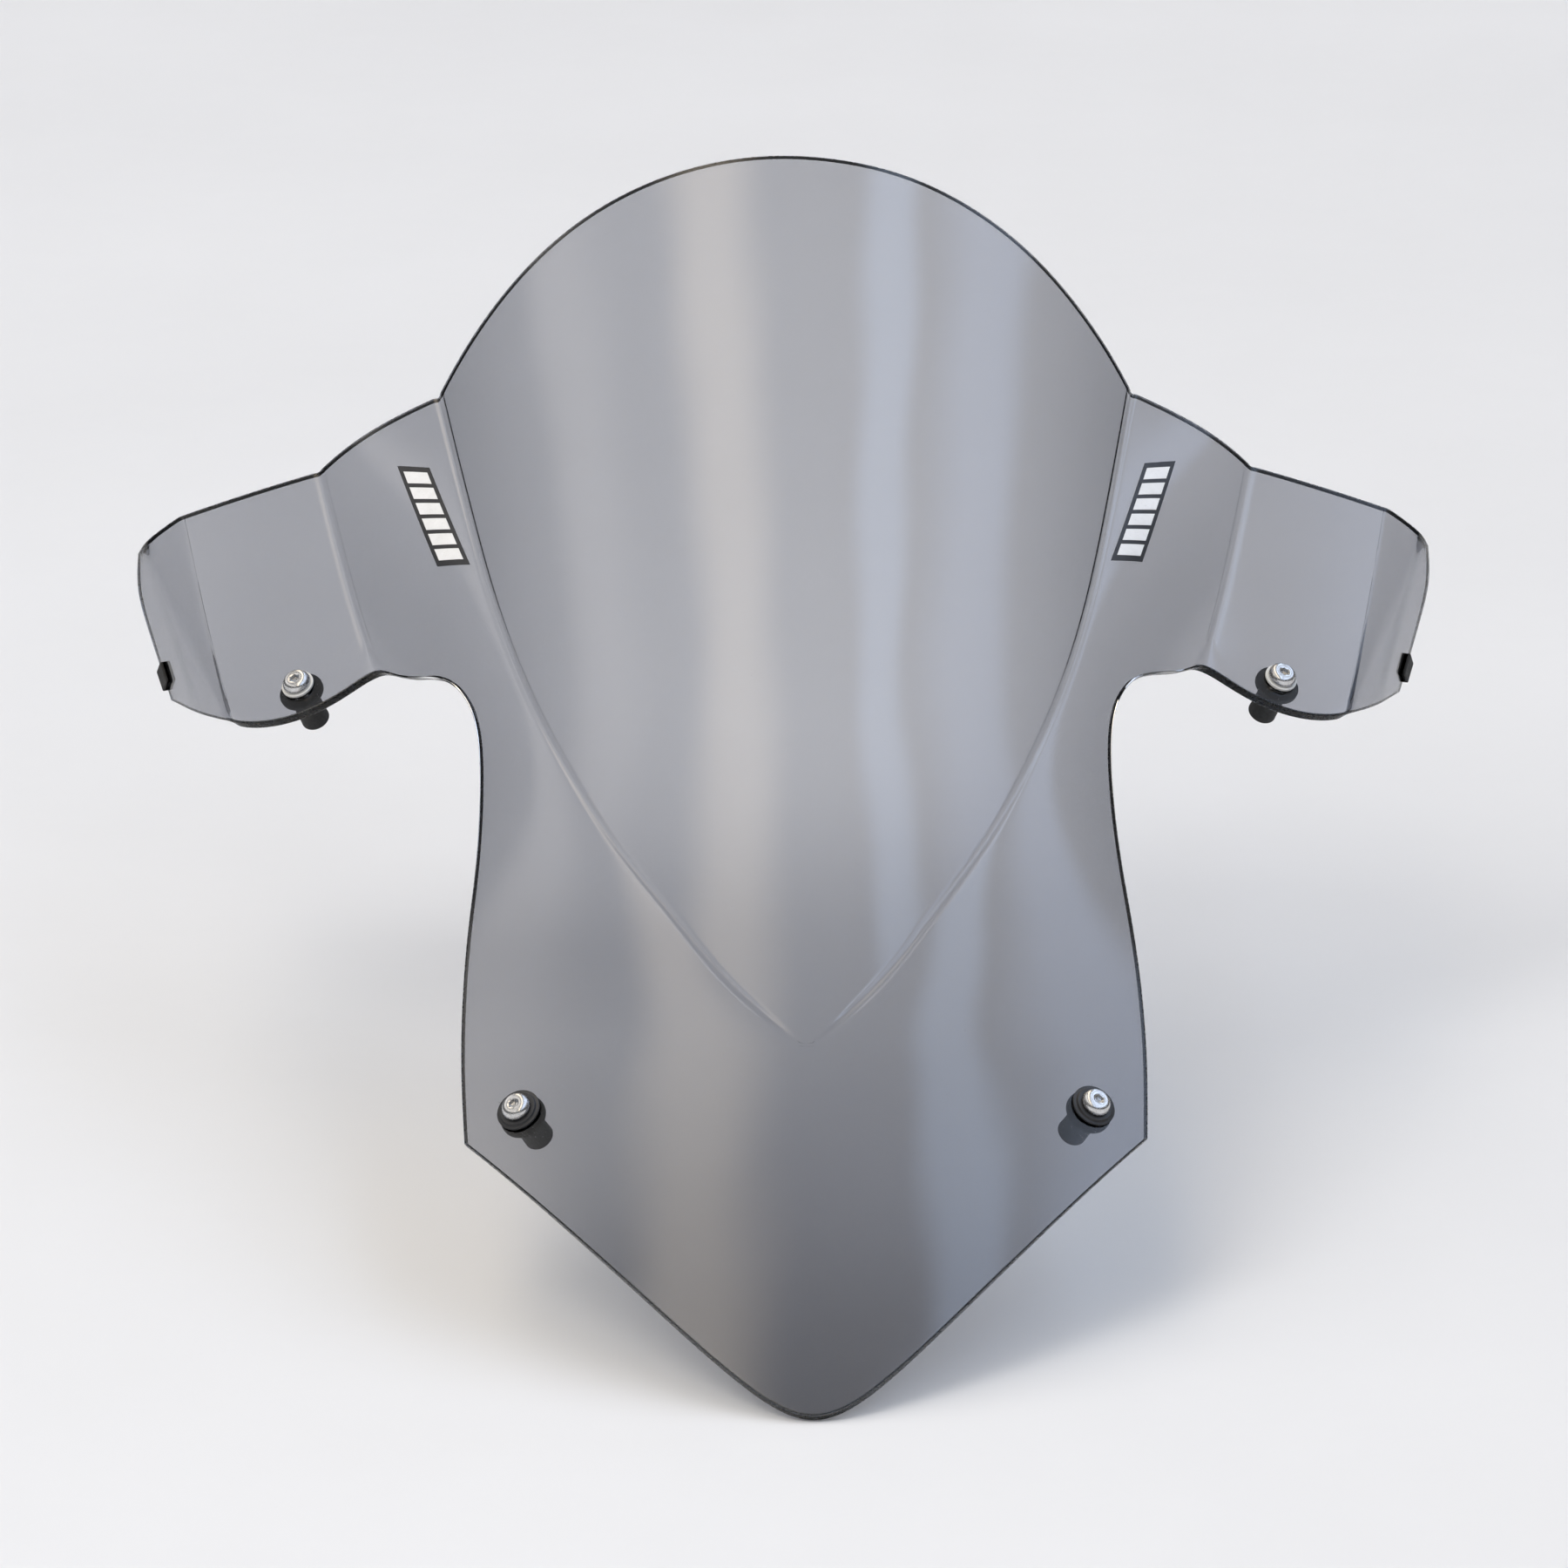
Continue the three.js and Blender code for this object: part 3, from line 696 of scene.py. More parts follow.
class Surface(Nodes):
    """A Principled material with short calls for the textures that drive it."""

    def __init__(self, name, **constants):
        self.material = bpy.data.materials.new(name)
        self.material.use_nodes = True
        super().__init__(self.material.node_tree)
        self.shader = self.tree.nodes["Principled BSDF"]
        self.output = self.tree.nodes["Material Output"]
        self.object_place = self.node("ShaderNodeTexCoord").outputs["Object"]
        for socket, value in constants.items():
            self.shader.inputs[socket.replace("_", " ")].default_value = value

    def stretched(self, scale):
        mapping = self.node("ShaderNodeMapping")
        mapping.inputs["Scale"].default_value = scale
        self.link(self.object_place, mapping.inputs["Vector"])
        return mapping.outputs["Vector"]

    def noise(self, scale, detail=4.0, roughness=0.55, distortion=0.0, where=None):
        made = self.node("ShaderNodeTexNoise")
        made.inputs["Scale"].default_value = scale
        made.inputs["Detail"].default_value = detail
        made.inputs["Roughness"].default_value = roughness
        made.inputs["Distortion"].default_value = distortion
        self.link(where or self.object_place, made.inputs["Vector"])
        return made.outputs["Fac"]

    def drive(self, socket, source):
        self.link(source, self.shader.inputs[socket])

    def bump(self, source, strength, distance_mm, after=None):
        made = self.node("ShaderNodeBump")
        made.inputs["Strength"].default_value = strength
        made.inputs["Distance"].default_value = distance_mm * MM
        self.link(source, made.inputs["Height"])
        if after is not None:
            self.link(after, made.inputs["Normal"])
        return made.outputs["Normal"]


SMOKE = (0.30, 0.315, 0.37, 1)
SMOKE_DENSITY = 345


def smoke_acrylic():
    """The sheet: clear smoke-dyed acrylic with polish haze, wipe marks and dust."""
    look = Surface("smoke_acrylic", Base_Color=(1, 1, 1, 1), Transmission_Weight=1.0, IOR=1.49)
    haze = look.ranged(look.noise(9, 5, 0.6, 0.8), 0.35, 0.75, 0.012, 0.045)
    wipes = look.ranged(look.noise(60, 3, 0.5, 0.4, look.stretched((1.0, 0.25, 0.06))), 0.62, 0.8, 0.0, 0.05)
    dust = look.ranged(look.noise(2600, 1, 0.4), 0.74, 0.8, 0.0, 0.35)
    look.drive("Roughness", look.sum(look.sum(haze, wipes), dust))
    volume = look.node("ShaderNodeVolumeAbsorption")
    volume.inputs["Color"].default_value = SMOKE
    volume.inputs["Density"].default_value = SMOKE_DENSITY
    look.link(volume.outputs["Volume"], look.output.inputs["Volume"])
    return look.material


def acrylic_edge():
    """The sheet's cut edge, scraped and flame polished: a little hazier, with fine matt lines along it."""
    look = Surface("acrylic_edge", Base_Color=(0.62, 0.64, 0.67, 1), Transmission_Weight=1.0, IOR=1.49)
    lines = look.noise(900, 2, 0.6, 0.0, look.stretched((0.3, 0.3, 1.0)))
    look.drive("Roughness", look.ranged(lines, 0.3, 0.7, 0.16, 0.36))
    volume = look.node("ShaderNodeVolumeAbsorption")
    volume.inputs["Color"].default_value = SMOKE
    volume.inputs["Density"].default_value = SMOKE_DENSITY
    look.link(volume.outputs["Volume"], look.output.inputs["Volume"])
    return look.material


def stainless_steel():
    look = Surface("stainless_steel", Metallic=1.0)
    stain = look.noise(320, 5, 0.6, 0.5)
    look.drive("Base Color", look.colours(stain, [(0.25, (0.50, 0.49, 0.47)), (0.6, (0.66, 0.66, 0.66))]))
    look.drive("Roughness", look.ranged(look.noise(1500, 4, 0.6), 0.3, 0.75, 0.14, 0.34))
    look.drive("Normal", look.bump(look.noise(2600, 3, 0.6), 0.12, 0.02))
    return look.material


def moulded(name, dark, light, rough_low, rough_high, grain=2200, relief=0.03):
    """A moulded plastic or rubber: fine grain, small changes of tone and scuffs that shine a little more."""
    look = Surface(name)
    tone = look.noise(140, 6, 0.65, 0.3)
    look.drive("Base Color", look.colours(tone, [(0.3, dark), (0.75, light)]))
    scuffs = look.noise(700, 4, 0.7, 1.2)
    look.drive("Roughness", look.ranged(scuffs, 0.35, 0.7, rough_high, rough_low))
    look.drive("Normal", look.bump(look.noise(grain, 3, 0.6), 0.35, relief))
    return look.material


def brass():
    look = Surface("brass", Metallic=1.0)
    tarnish = look.noise(260, 6, 0.6, 0.6)
    look.drive("Base Color", look.colours(tarnish, [(0.3, (0.36, 0.23, 0.08)), (0.65, (0.72, 0.52, 0.22))]))
    look.drive("Roughness", look.ranged(look.noise(1200, 4, 0.6), 0.3, 0.75, 0.22, 0.45))
    look.drive("Normal", look.bump(look.noise(3000, 2, 0.6), 0.15, 0.02))
    return look.material


MATERIALS = {
    "acrylic": smoke_acrylic(),
    "edge": acrylic_edge(),
    "steel": stainless_steel(),
    "black_nylon": moulded("black_nylon", (0.012, 0.012, 0.013), (0.026, 0.026, 0.028), 0.32, 0.5),
    "white_nylon": moulded("white_nylon", (0.62, 0.61, 0.58), (0.8, 0.8, 0.77), 0.35, 0.5),
    "rubber": moulded("black_rubber", (0.010, 0.010, 0.010), (0.032, 0.031, 0.030), 0.62, 0.85, 1600, 0.05),
    "brass": brass(),
    "white_vinyl": moulded("white_vinyl", (0.78, 0.78, 0.77), (0.9, 0.9, 0.9), 0.25, 0.42, 900, 0.012),
    "black_vinyl": moulded("black_vinyl", (0.010, 0.010, 0.012), (0.02, 0.02, 0.022), 0.28, 0.45, 900, 0.012),
}


# ---------------------------------------------------------------- the sheet


def sheet_thickness(points):
    """Forming stretches the sheet over the bubble and leaves it thinner and lighter in tone at its crown."""
    x, s = np.abs(points[:, 0]), points[:, 1] * math.cos(RAKE) + points[:, 2] * math.sin(RAKE)
    raised = np.clip((s - VEE_S) / THINNING_REACH, 0, 1)
    q = np.clip(x / np.maximum(bubble_half_width(np.maximum(s, VEE_S + 1)), 1), 0, 1)
    return SHEET_THICKNESS - THINNING * (1 - q * q) * raised * raised * (3 - 2 * raised)


def crease_lines():
    """The bubble's foot and the wing's crease and fold, as rows of places 1 to 2 mm apart."""
    foot_s = np.linspace(NOTCH_S, VEE_S, FOOT_PLACES)
    foot_x = np.maximum(bubble_half_width(foot_s), 0)
    foot = place(foot_x, foot_s, bubble_height(foot_x, foot_s))
    row = np.linspace(0, WING_ROWS, WING_LINE_PLACES)
    crease_s = wing_crease_s(row)
    crease = place(outer_x(crease_s), crease_s, outer_height(crease_s))
    fold = place(*[part(row / WING_ROWS) for part in fold_line])
    return foot, crease, fold


def creased(points):
    """How deep the narrow furrow along the bubble's foot and the wing's crease is at each point."""
    foot, crease, _ = crease_lines()
    depth = np.zeros(len(points))
    for line, full_depth in ((foot, FOOT_FURROW), (crease, WING_FURROW)):
        for side in (1, -1):
            gap = nearest(points, line * (side, 1, 1))
            fade = np.clip((points[:, 1] - FURROW_END) / FURROW_FADE, 0, 1)
            depth = np.maximum(depth, full_depth * fade * np.exp(-((gap / FURROW_HALF_WIDTH) ** 2)))
    return depth[:, None]


def forming_waves(points):
    """The long, shallow waves that forming leaves in the sheet, which bend the streaks of its gloss."""
    total = np.zeros(len(points))
    for height, lengths in WAVES:
        total += height * np.sin(2 * math.pi * (points / lengths).sum(1))
    return total[:, None]


def eased(points, faces, lines, reach, rounds):
    """Softens the sheet within reach of some lines, on both sides of the machine."""
    weight = np.zeros(len(points))
    for line in lines:
        for side in (1, -1):
            weight = np.maximum(weight, near_line(points, line * (side, 1, 1), reach))
    return relax(points, faces, weight, rounds)


def lower_edge():
    """The edge from the shoulder's corner out to the wing's fold, whose corners a cutter would round off."""
    corner, plate, bend = LOWER_EDGE_PLACES
    return np.concatenate([
        base_point(np.linspace(*SHOULDER_CORNER_ROWS, corner), 1.0),
        plate_point(float(WING_ROWS), np.linspace(0, 1, plate)),
        bend_point(float(WING_ROWS), np.linspace(0, 1, bend)),
    ])


def make_screen():
    rows = {count: np.linspace(0, count, count * ROW_STEPS + 1) for count in (ROWS, BUBBLE_ROWS, WING_ROWS)}
    half = [
        grid(rows[BUBBLE_ROWS], spread(BUBBLE_COLUMNS, False, True), bubble_point),
        grid(rows[ROWS], spread(SHOULDER_COLUMNS, True, True), base_point),
        grid(rows[WING_ROWS], spread(PLATE_COLUMNS, True, True), plate_point),
        grid(rows[WING_ROWS], spread(BEND_COLUMNS, True, True), bend_point),
        grid(rows[WING_ROWS], spread(FLANGE_COLUMNS, True, False), flange_point),
    ]
    points, faces = joined(half + [mirrored(*patch) for patch in half])
    foot, crease, fold = crease_lines()
    points = eased(points, faces, (foot, crease), CREASE_REACH, CREASE_ROUNDS)
    points = eased(points, faces, (fold,), FOLD_REACH, FOLD_ROUNDS)
    runs, border = edges_of(faces)
    inner = np.ones(len(points))
    inner[runs[border].ravel()] = 0
    points = relax(points, faces, inner, FAIRING_ROUNDS)
    points = points + (forming_waves(points) - creased(points)) * normals_of(points, faces)
    points = eased(points, faces, (lower_edge(),), LOWER_EDGE_REACH, LOWER_EDGE_ROUNDS)
    for side in (-1, 1):
        for height, (x, s) in ((base_height, LOWER_SCREW), (plate_height, WING_SCREW)):
            spot, axes = seat(height, x, s, side)
            points, faces = cut_hole(points, faces, height, spot, axes, SCREW_HOLE_RADIUS)
    points, body, wall = thickened(points, faces, sheet_thickness(points), EDGE_RADIUS, EDGE_STEPS)
    slots = [0] * len(body) + [1] * len(wall)
    sheet = add_mesh("screen_sheet", points, body + wall, [MATERIALS["acrylic"], MATERIALS["edge"]], slots)
    weigh_normals(sheet)
    stand_in(sheet, "screen")
    return sheet


# ---------------------------------------------------------------- turned hardware, in each seat's own axes


def rounded(outline, radius, steps=CORNER_STEPS):
    """A closed outline of (radius, height) places with each corner off the axis turned into a small arc."""
    out = []
    count = len(outline)
    for i in range(count):
        before, corner, after = (np.array(outline[(i + k) % count], float) for k in (-1, 0, 1))
        if corner[0] < ON_AXIS:
            out.append(tuple(corner))
            continue
        to_before, to_after = before - corner, after - corner
        reach = min(radius, CORNER_REACH * np.linalg.norm(to_before), CORNER_REACH * np.linalg.norm(to_after))
        a = corner + to_before / np.linalg.norm(to_before) * reach
        b = corner + to_after / np.linalg.norm(to_after) * reach
        for step in range(steps + 1):
            t = step / steps
            out.append(tuple((1 - t) ** 2 * a + 2 * t * (1 - t) * corner + t * t * b))
    return out


def turned(outline, sides, radius_at=None):
    """A closed outline turned about Z. radius_at(radius, height, turn) shapes rings that aren't round."""
    turns = np.arange(sides) * 2 * math.pi / sides
    points, rings = [], []
    for radius, height in outline:
        if radius < ON_AXIS:
            rings.append([len(points)] * sides)
            points.append((0, 0, height))
            continue
        rings.append(list(range(len(points), len(points) + sides)))
        for turn in turns:
            r = radius_at(radius, height, turn) if radius_at else radius
            points.append((r * math.cos(turn), r * math.sin(turn), height))
    faces = []
    for lower, upper in zip(rings, rings[1:] + rings[:1]):
        for i in range(sides):
            j = (i + 1) % sides
            face = list(dict.fromkeys([lower[i], lower[j], upper[j], upper[i]]))
            if len(face) > 2:
                faces.append(face)
    return np.array(points), faces


def add_turned(name, mesh, where, material):
    """A turned piece in its seat, standing for the CAD node of the same place."""
    points, faces = mesh
    spot, axes = where
    piece = add_mesh(name + "_turned", spot + points @ axes, faces, [material])
    weigh_normals(piece, SHARP_ANGLE)
    stand_in(piece, name)


def screw_mesh(seat_height):
    """A button-head screw whose head rests at seat_height: domed head, hexagon socket and a cut thread."""
    head, shank, crown = HEAD_DIAMETER / 2, SCREW_DIAMETER / 2, HEAD_CROWN_RADIUS
    point = seat_height - SCREW_LENGTH
    top = seat_height + HEAD_HEIGHT
    corner = SOCKET_ACROSS_CORNERS / 2
    rings = round((SCREW_LENGTH - SCREW_NECK - 1) / THREAD_PITCH * THREAD_RINGS)
    thread_start = point + SCREW_POINT_CHAMFER
    thread = [(shank, mix(thread_start, seat_height - SCREW_NECK, i / rings)) for i in range(rings + 1)]
    dome = []
    for i in range(HEAD_DOME_STEPS + 1):
        q = i / HEAD_DOME_STEPS
        rise = mix(HEAD_RIM_HEIGHT, HEAD_HEIGHT, math.sin(q * math.pi / 2))
        dome.append((mix(head, crown, q**HEAD_DOME_POWER), seat_height + rise))
    neck = shank * NECK_SHARE
    wall = corner - SOCKET_WALL_INSET
    outline = [
        (0, point), (shank - SCREW_POINT_CHAMFER - SCREW_POINT_FLAT, point),
        (shank - SCREW_POINT_CHAMFER, point + SCREW_POINT_RISE), *thread,
        (neck, seat_height - SCREW_NECK + NECK_SHOULDER), (neck, seat_height - NECK_FILLET),
        (neck + NECK_FILLET, seat_height),
        (head - HEAD_EDGE, seat_height), (head, seat_height + HEAD_EDGE), *dome,
        *[(corner + wider, top - deeper) for wider, deeper in SOCKET_MOUTH],
        (wall, top - SOCKET_WALL_TOP), (wall, top - SOCKET_DEPTH),
        (0, top - SOCKET_DEPTH - SOCKET_CONE_DEPTH),
    ]

    def radius_at(radius, height, turn):
        if radius <= corner and height > seat_height:
            return radius * math.cos(math.pi / 6) / math.cos(turn % (math.pi / 3) - math.pi / 6)
        if radius == shank and height < seat_height - SCREW_NECK + 0.01:
            phase = (height / THREAD_PITCH - turn / (2 * math.pi)) % 1
            run_in = min(1, (height - point - 0.5) / THREAD_PITCH)
            return shank - THREAD_DEPTH * (abs(2 * phase - 1) * run_in + THREAD_START_SHARE * (1 - run_in))
        return radius

    return turned(outline, SCREW_SIDES, radius_at)


def step_washer_mesh():
    """The black washer under a lower screw: a wide step, a narrower step and a sleeve in the sheet's hole."""
    bore = SCREW_DIAMETER / 2 + GAP
    sleeve = SCREW_HOLE_RADIUS - GAP
    rim = STEP_WASHER_DIAMETER / 2
    top = GAP + STEP_WASHER_THICKNESS
    ledge = GAP + STEP_WASHER_RIM_THICKNESS
    sleeve_end = SLEEVE_SHORT_OF_REAR - SHEET_THICKNESS
    step = rim - STEP_WASHER_SLOPE
    foot_out, foot_up = STEP_WASHER_FOOT
    outline = [
        (bore, sleeve_end), (sleeve, sleeve_end), (sleeve, GAP), (rim, GAP), (rim, ledge),
        (step + foot_out, ledge + foot_up), (step, top), (bore, top),
    ]
    return turned(rounded(outline, STEP_WASHER_ROUNDING), WASHER_SIDES)


def flat_washer_mesh():
    bore, rim, top = SCREW_DIAMETER / 2 + GAP, FLAT_WASHER_DIAMETER / 2, GAP + FLAT_WASHER_THICKNESS
    outline = [(bore, GAP), (rim, GAP), (rim, top), (bore, top)]
    return turned(rounded(outline, FLAT_WASHER_ROUNDING), WASHER_SIDES)


def well_nut_mesh():
    """The rubber well nut: a soft-edged flange, a body with mould ridges, a bore and the insert's pocket."""
    front = -SHEET_THICKNESS - REAR_GAP
    flange_rear = front - WELL_NUT_FLANGE_THICKNESS
    rear = front - WELL_NUT_LENGTH
    bore, body = SCREW_DIAMETER / 2 + GAP, WELL_NUT_BODY_DIAMETER / 2
    pocket, flange = INSERT_DIAMETER / 2 + GAP, WELL_NUT_FLANGE_DIAMETER / 2
    step = rear + INSERT_LENGTH + GAP
    corners = [
        (bore, front), (bore, step), (pocket, step), (pocket, rear), (body - WELL_NUT_CHAMFER, rear),
        (body, rear + WELL_NUT_CHAMFER), (body, flange_rear), (flange, flange_rear), (flange, front),
    ]
    outline = rounded(corners, WELL_NUT_ROUNDING)
    low, high = rear + WELL_NUT_PLAIN_ENDS[0], flange_rear - WELL_NUT_PLAIN_ENDS[1]
    body_rings = [(body, mix(low, high, i / WELL_NUT_RINGS)) for i in range(WELL_NUT_RINGS + 1)]
    split = next(i for i, (r, h) in enumerate(outline) if r == body and h > (rear + flange_rear) / 2)
    outline = outline[:split] + body_rings + outline[split:]

    def radius_at(radius, height, turn):
        if radius == body and low <= height <= high:
            ridge = math.exp(-((math.sin(turn) * body / MOULD_RIDGE_HALF_WIDTH) ** 2))
            swell = math.sin(math.pi * (height - rear) / (flange_rear - rear))
            return body + MOULD_RIDGE_HEIGHT * ridge - WELL_NUT_SWELL * swell
        return radius

    return turned(outline, WELL_NUT_SIDES, radius_at)


def insert_mesh():
    """The brass insert: a knurled outside, a waist, chamfered ends and a threaded bore."""
    rear = -SHEET_THICKNESS - REAR_GAP - WELL_NUT_LENGTH
    bore, outer = SCREW_DIAMETER / 2 + GAP, INSERT_DIAMETER / 2
    top = rear + INSERT_LENGTH
    cut, rise = INSERT_CHAMFER
    mouth, run = INSERT_BORE_CHAMFER
    waist_depth, waist_from = INSERT_WAIST
    waist = [
        (outer, rear + rise), (outer, rear + INSERT_KNURLED_LENGTH),
        (outer - waist_depth, rear + waist_from), (outer - waist_depth, top - waist_from),
        (outer, top - INSERT_KNURLED_LENGTH), (outer, top - rise),
    ]
    threads = [(bore, mix(top - run, rear + run, i / INSERT_RINGS)) for i in range(INSERT_RINGS + 1)]
    outline = [
        (bore + mouth, rear), (outer - cut, rear), *waist, (outer - cut, top), (bore + mouth, top), *threads,
    ]

    def radius_at(radius, height, turn):
        if radius == outer:
            return outer - KNURL_DEPTH * abs(math.sin(turn * KNURLS / 2))
        if radius == bore:
            phase = (height / THREAD_PITCH - turn / (2 * math.pi)) % 1
            return bore + INSERT_THREAD_DEPTH * abs(2 * phase - 1)
        return radius

    return turned(outline, INSERT_SIDES, radius_at)


def add_fixing(where, side_name, at, washer, washer_look, washer_top):
    finish, slot_name = washer_look
    add_turned(f"{where}_washer_{side_name}", washer, at, MATERIALS[finish])
    screw = screw_mesh(washer_top + GAP)
    add_turned(f"{where}_screw_{side_name}", screw, at, MATERIALS["steel"])
    add_turned(f"{where}_well_nut_{side_name}", well_nut_mesh(), at, MATERIALS["rubber"])
    add_turned(f"{where}_brass_insert_{side_name}", insert_mesh(), at, MATERIALS["brass"])


def make_fixings():
    for side_name, side in SIDES:
        lower = seat(base_height, *LOWER_SCREW, side)
        black = ("black_nylon", "black_nylon")
        add_fixing("lower", side_name, lower, step_washer_mesh(), black, GAP + STEP_WASHER_THICKNESS)
        wing = seat(plate_height, *WING_SCREW, side)
        white = ("white_nylon", "white_nylon")
        add_fixing("wing", side_name, wing, flat_washer_mesh(), white, GAP + FLAT_WASHER_THICKNESS)


# ---------------------------------------------------------------- rubber buffers on the wings' rims


def buffer_seat(side):
    """The channel's own axes: X down the rim, Y in from it, Z out of the sheet."""
    nudge = BUFFER_NUDGE
    spot, ahead, behind, inside = (
        place(*[part(down) for part in line]) * (side, 1, 1)
        for line, down in ((rim_line, BUFFER_PLACE), (rim_line, BUFFER_PLACE + nudge),
                           (rim_line, BUFFER_PLACE - nudge), (fold_line, BUFFER_PLACE))
    )
    along = (ahead - behind) * -side
    along /= np.linalg.norm(along)
    outward = np.cross(along, inside - spot)
    outward /= np.linalg.norm(outward)
    return spot - outward * SHEET_THICKNESS / 2, np.stack([along, np.cross(outward, along), outward])


def channel_mesh():
    """A U-shaped channel with soft corners and domed ends, whose slot takes the rim."""
    half = SHEET_THICKNESS / 2 + GAP
    outside, back = half + BUFFER_WALL, -BUFFER_WALL - GAP
    corners = [(back, -outside), (BUFFER_DEPTH, -outside), (BUFFER_DEPTH, -half), (-GAP, -half),
               (-GAP, half), (BUFFER_DEPTH, half), (BUFFER_DEPTH, outside), (back, outside)]
    # rounded leaves corners on the axis sharp, so the outline stands clear of it meanwhile.
    shift = 10
    moved = [(y + shift, z) for y, z in corners]
    outline = np.array(rounded(moved, BUFFER_ROUNDING, BUFFER_ROUNDING_STEPS)) - (shift, 0)
    ahead = np.roll(outline, -1, 0) - np.roll(outline, 1, 0)
    inward = np.stack([-ahead[:, 1], ahead[:, 0]], 1) / np.linalg.norm(ahead, axis=1)[:, None]
    points, count = [], len(outline)
    steps = [(inset, -BUFFER_LENGTH / 2 + depth) for inset, depth in BUFFER_DOME]
    steps += [(0, at) for at in BUFFER_RINGS]
    steps += [(inset, BUFFER_LENGTH / 2 - depth) for inset, depth in reversed(BUFFER_DOME)]
    for inset, x in steps:
        ring = outline + inward * inset
        points += [(x, y, z) for y, z in ring]
    faces = []
    for k in range(len(steps) - 1):
        for i in range(count):
            j = (i + 1) % count
            faces.append([k * count + i, k * count + j, (k + 1) * count + j, (k + 1) * count + i])
    last = (len(steps) - 1) * count
    faces += [list(range(count))[::-1], [last + i for i in range(count)]]
    return np.array(points), faces


def make_buffers():
    points, faces = channel_mesh()
    for side_name, side in SIDES:
        spot, axes = buffer_seat(side)
        placed = spot + points @ axes
        piece = add_mesh(f"edge_buffer_{side_name}_moulded", placed, faces, [MATERIALS["rubber"]])
        weigh_normals(piece, SHARP_ANGLE)
        stand_in(piece, f"edge_buffer_{side_name}")


# ---------------------------------------------------------------- vinyl marks on the shoulders


def mark_point(down, across):
    s = mix(MARK_S[0], MARK_S[1], down) + MARK_SLANT * (across - 0.5)
    x = bubble_half_width(s) + mix(MARK_FROM_FOOT[0], MARK_FROM_FOOT[1], down) + MARK_WIDTH * (across - 0.5)
    return place(x, s, base_height(x, s))


def film(down, across, lift, thickness, side):
    """A thin slab that lies on the shoulder between two shares of the mark's length and of its width."""
    rows = np.linspace(*down, 2 + int(FILM_ROWS * (down[1] - down[0])))
    columns = np.linspace(*across, FILM_COLUMNS + 1)
    points, quads = grid(rows, columns, mark_point)
    if side < 0:
        points, quads = mirrored(points, quads)
    faces = quads.tolist()
    normals = normals_of(points, faces)
    points = points + normals * (lift + thickness)
    points, body, wall = thickened(points, faces, thickness, thickness * FILM_EDGE_SHARE, 2)
    return points, body + wall


def make_marks():
    """Equal white bars on a black backing: a mark that says nothing."""
    pitch = (1 - 2 * MARK_MARGIN) / MARK_BARS
    for side_name, side in SIDES:
        slabs = [film((0, 1), (0, 1), FILM_LIFT, FILM_THICKNESS, side)]
        for bar in range(MARK_BARS):
            middle = MARK_MARGIN + (bar + 0.5) * pitch
            down = (middle - MARK_BAR_SHARE * pitch / 2, middle + MARK_BAR_SHARE * pitch / 2)
            lift = FILM_LIFT + FILM_THICKNESS
            slabs.append(film(down, (MARK_SIDE_MARGIN, 1 - MARK_SIDE_MARGIN), lift, FILM_THICKNESS, side))
        points, faces, slots = [], [], []
        for i, (slab_points, slab_faces) in enumerate(slabs):
            start = sum(len(p) for p in points)
            points.append(slab_points)
            faces += [[v + start for v in f] for f in slab_faces]
            slots += [min(i, 1)] * len(slab_faces)
        looks = [MATERIALS["black_vinyl"], MATERIALS["white_vinyl"]]
        piece = add_mesh(f"shoulder_mark_{side_name}_film", np.concatenate(points), faces, looks, slots)
        weigh_normals(piece, SHARP_ANGLE)
        stand_in(piece, f"shoulder_mark_{side_name}")


# ---------------------------------------------------------------- studio


def floor_material():
    look = Surface("studio_floor")
    tone = look.noise(3, 4, 0.5)
    look.drive("Base Color", look.colours(tone, [(0.3, (0.78, 0.78, 0.78)), (0.7, (0.81, 0.81, 0.81))]))
    look.drive("Roughness", look.ranged(look.noise(30, 3), 0.3, 0.7, 0.6, 0.75))
    return look.material


def make_floor():
    level = CAD_BOX[0].z / MM
    reach = FLOOR_SIZE / 2 / MM
    corners = [(x * reach, y * reach, level) for x, y in ((-1, -1), (1, -1), (1, 1), (-1, 1))]
    add_mesh("studio_floor", corners, [[0, 1, 2, 3]], [floor_material()], smooth=False)


def make_key():
    """A large soft lamp from the upper left for the shadows. The sky alone shows in the gloss."""
    lamp = bpy.data.lights.new("key", "AREA")
    lamp.shape = "DISK"
    lamp.size = KEY_SIZE
    lamp.energy = KEY_POWER
    lamp.color = KEY_COLOUR
    key = bpy.data.objects.new("key", lamp)
    bpy.context.scene.collection.objects.link(key)
    key.location = KEY_PLACE
    middle = (CAD_BOX[0] + CAD_BOX[1]) / 2
    key.rotation_euler = (middle - key.location).to_track_quat("-Z", "Y").to_euler()
    key.visible_glossy = False


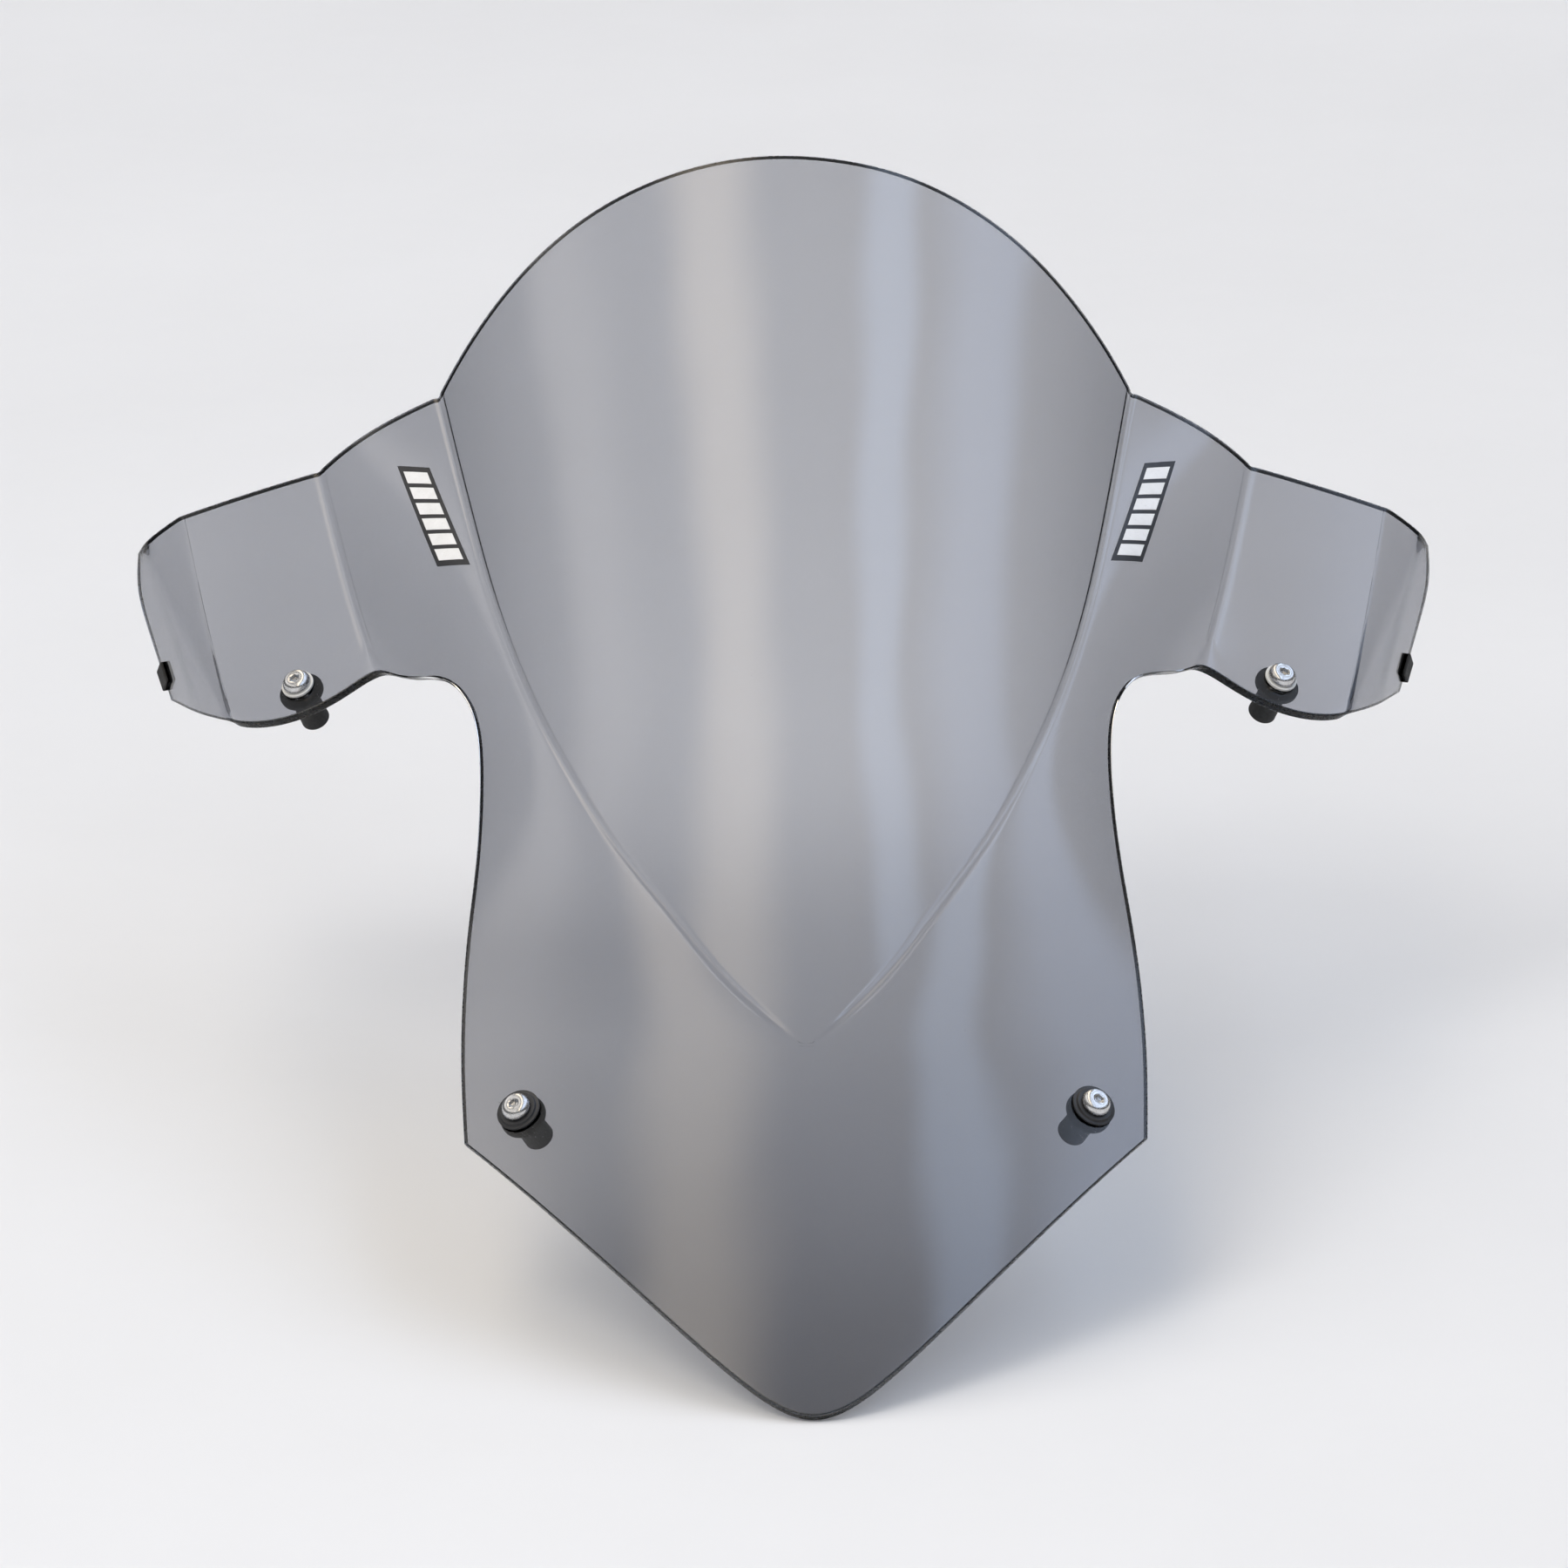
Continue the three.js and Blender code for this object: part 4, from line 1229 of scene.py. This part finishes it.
def make_sky():
    """A soft sky with a dark band above its bright horizon, and long soft windows overhead for the gloss."""
    world = bpy.data.worlds.new("studio_sky")
    bpy.context.scene.world = world
    world.use_nodes = True
    sky = Nodes(world.node_tree)
    way = sky.node("ShaderNodeSeparateXYZ")
    sky.link(sky.node("ShaderNodeTexCoord").outputs["Generated"], way.inputs["Vector"])
    height = way.outputs["Z"]
    sideways = sky.sum(way.outputs["X"], sky.sum(height, SKY_HORIZON, "MAXIMUM"), "DIVIDE")
    colour = sky.colours(height, SKY_TONES)
    overhead = sky.ranged(height, *SKY_OVERHEAD, 0, 1)
    for place_across, half_width, fade, tint in SKY_WINDOWS:
        off = sky.sum(sky.sum(sideways, place_across, "SUBTRACT"), 0, "ABSOLUTE")
        glow = sky.sum(sky.ranged(off, half_width, half_width + fade, 1, 0), overhead, "MULTIPLY")
        added = sky.node("ShaderNodeVectorMath", operation="MULTIPLY_ADD")
        sky.link(glow, added.inputs[0])
        added.inputs[1].default_value = tint
        sky.link(colour, added.inputs[2])
        colour = added.outputs["Vector"]
    background = world.node_tree.nodes["Background"]
    sky.link(colour, background.inputs["Color"])
    background.inputs["Strength"].default_value = SKY_STRENGTH


def make_camera():
    """Close to straight ahead of the machine and a little above level, with a long lens."""
    azimuth, elevation = map(math.radians, CAMERA_DIRECTION)
    level = math.cos(elevation)
    back = Vector((math.sin(azimuth) * level, -math.cos(azimuth) * level, math.sin(elevation)))
    camera = bpy.data.objects.new("camera", bpy.data.cameras.new("camera"))
    bpy.context.scene.collection.objects.link(camera)
    camera.rotation_mode = "QUATERNION"
    camera.location = back * CAMERA_DISTANCE + Vector(CAMERA_OFFSET)
    aim = (CAD_BOX[0] + CAD_BOX[1]) / 2 + Vector(CAMERA_AIM)
    camera.rotation_quaternion = (aim - camera.location).to_track_quat("-Z", "Y")
    camera.data.sensor_width = CAMERA_SENSOR
    camera.data.lens = CAMERA_LENS
    camera.data.clip_end = CAMERA_CLIP_END
    bpy.context.scene.camera = camera
    bpy.context.scene.view_settings.view_transform = "Standard"


make_screen()
make_fixings()
make_buffers()
make_marks()
make_floor()
make_key()
make_sky()
make_camera()
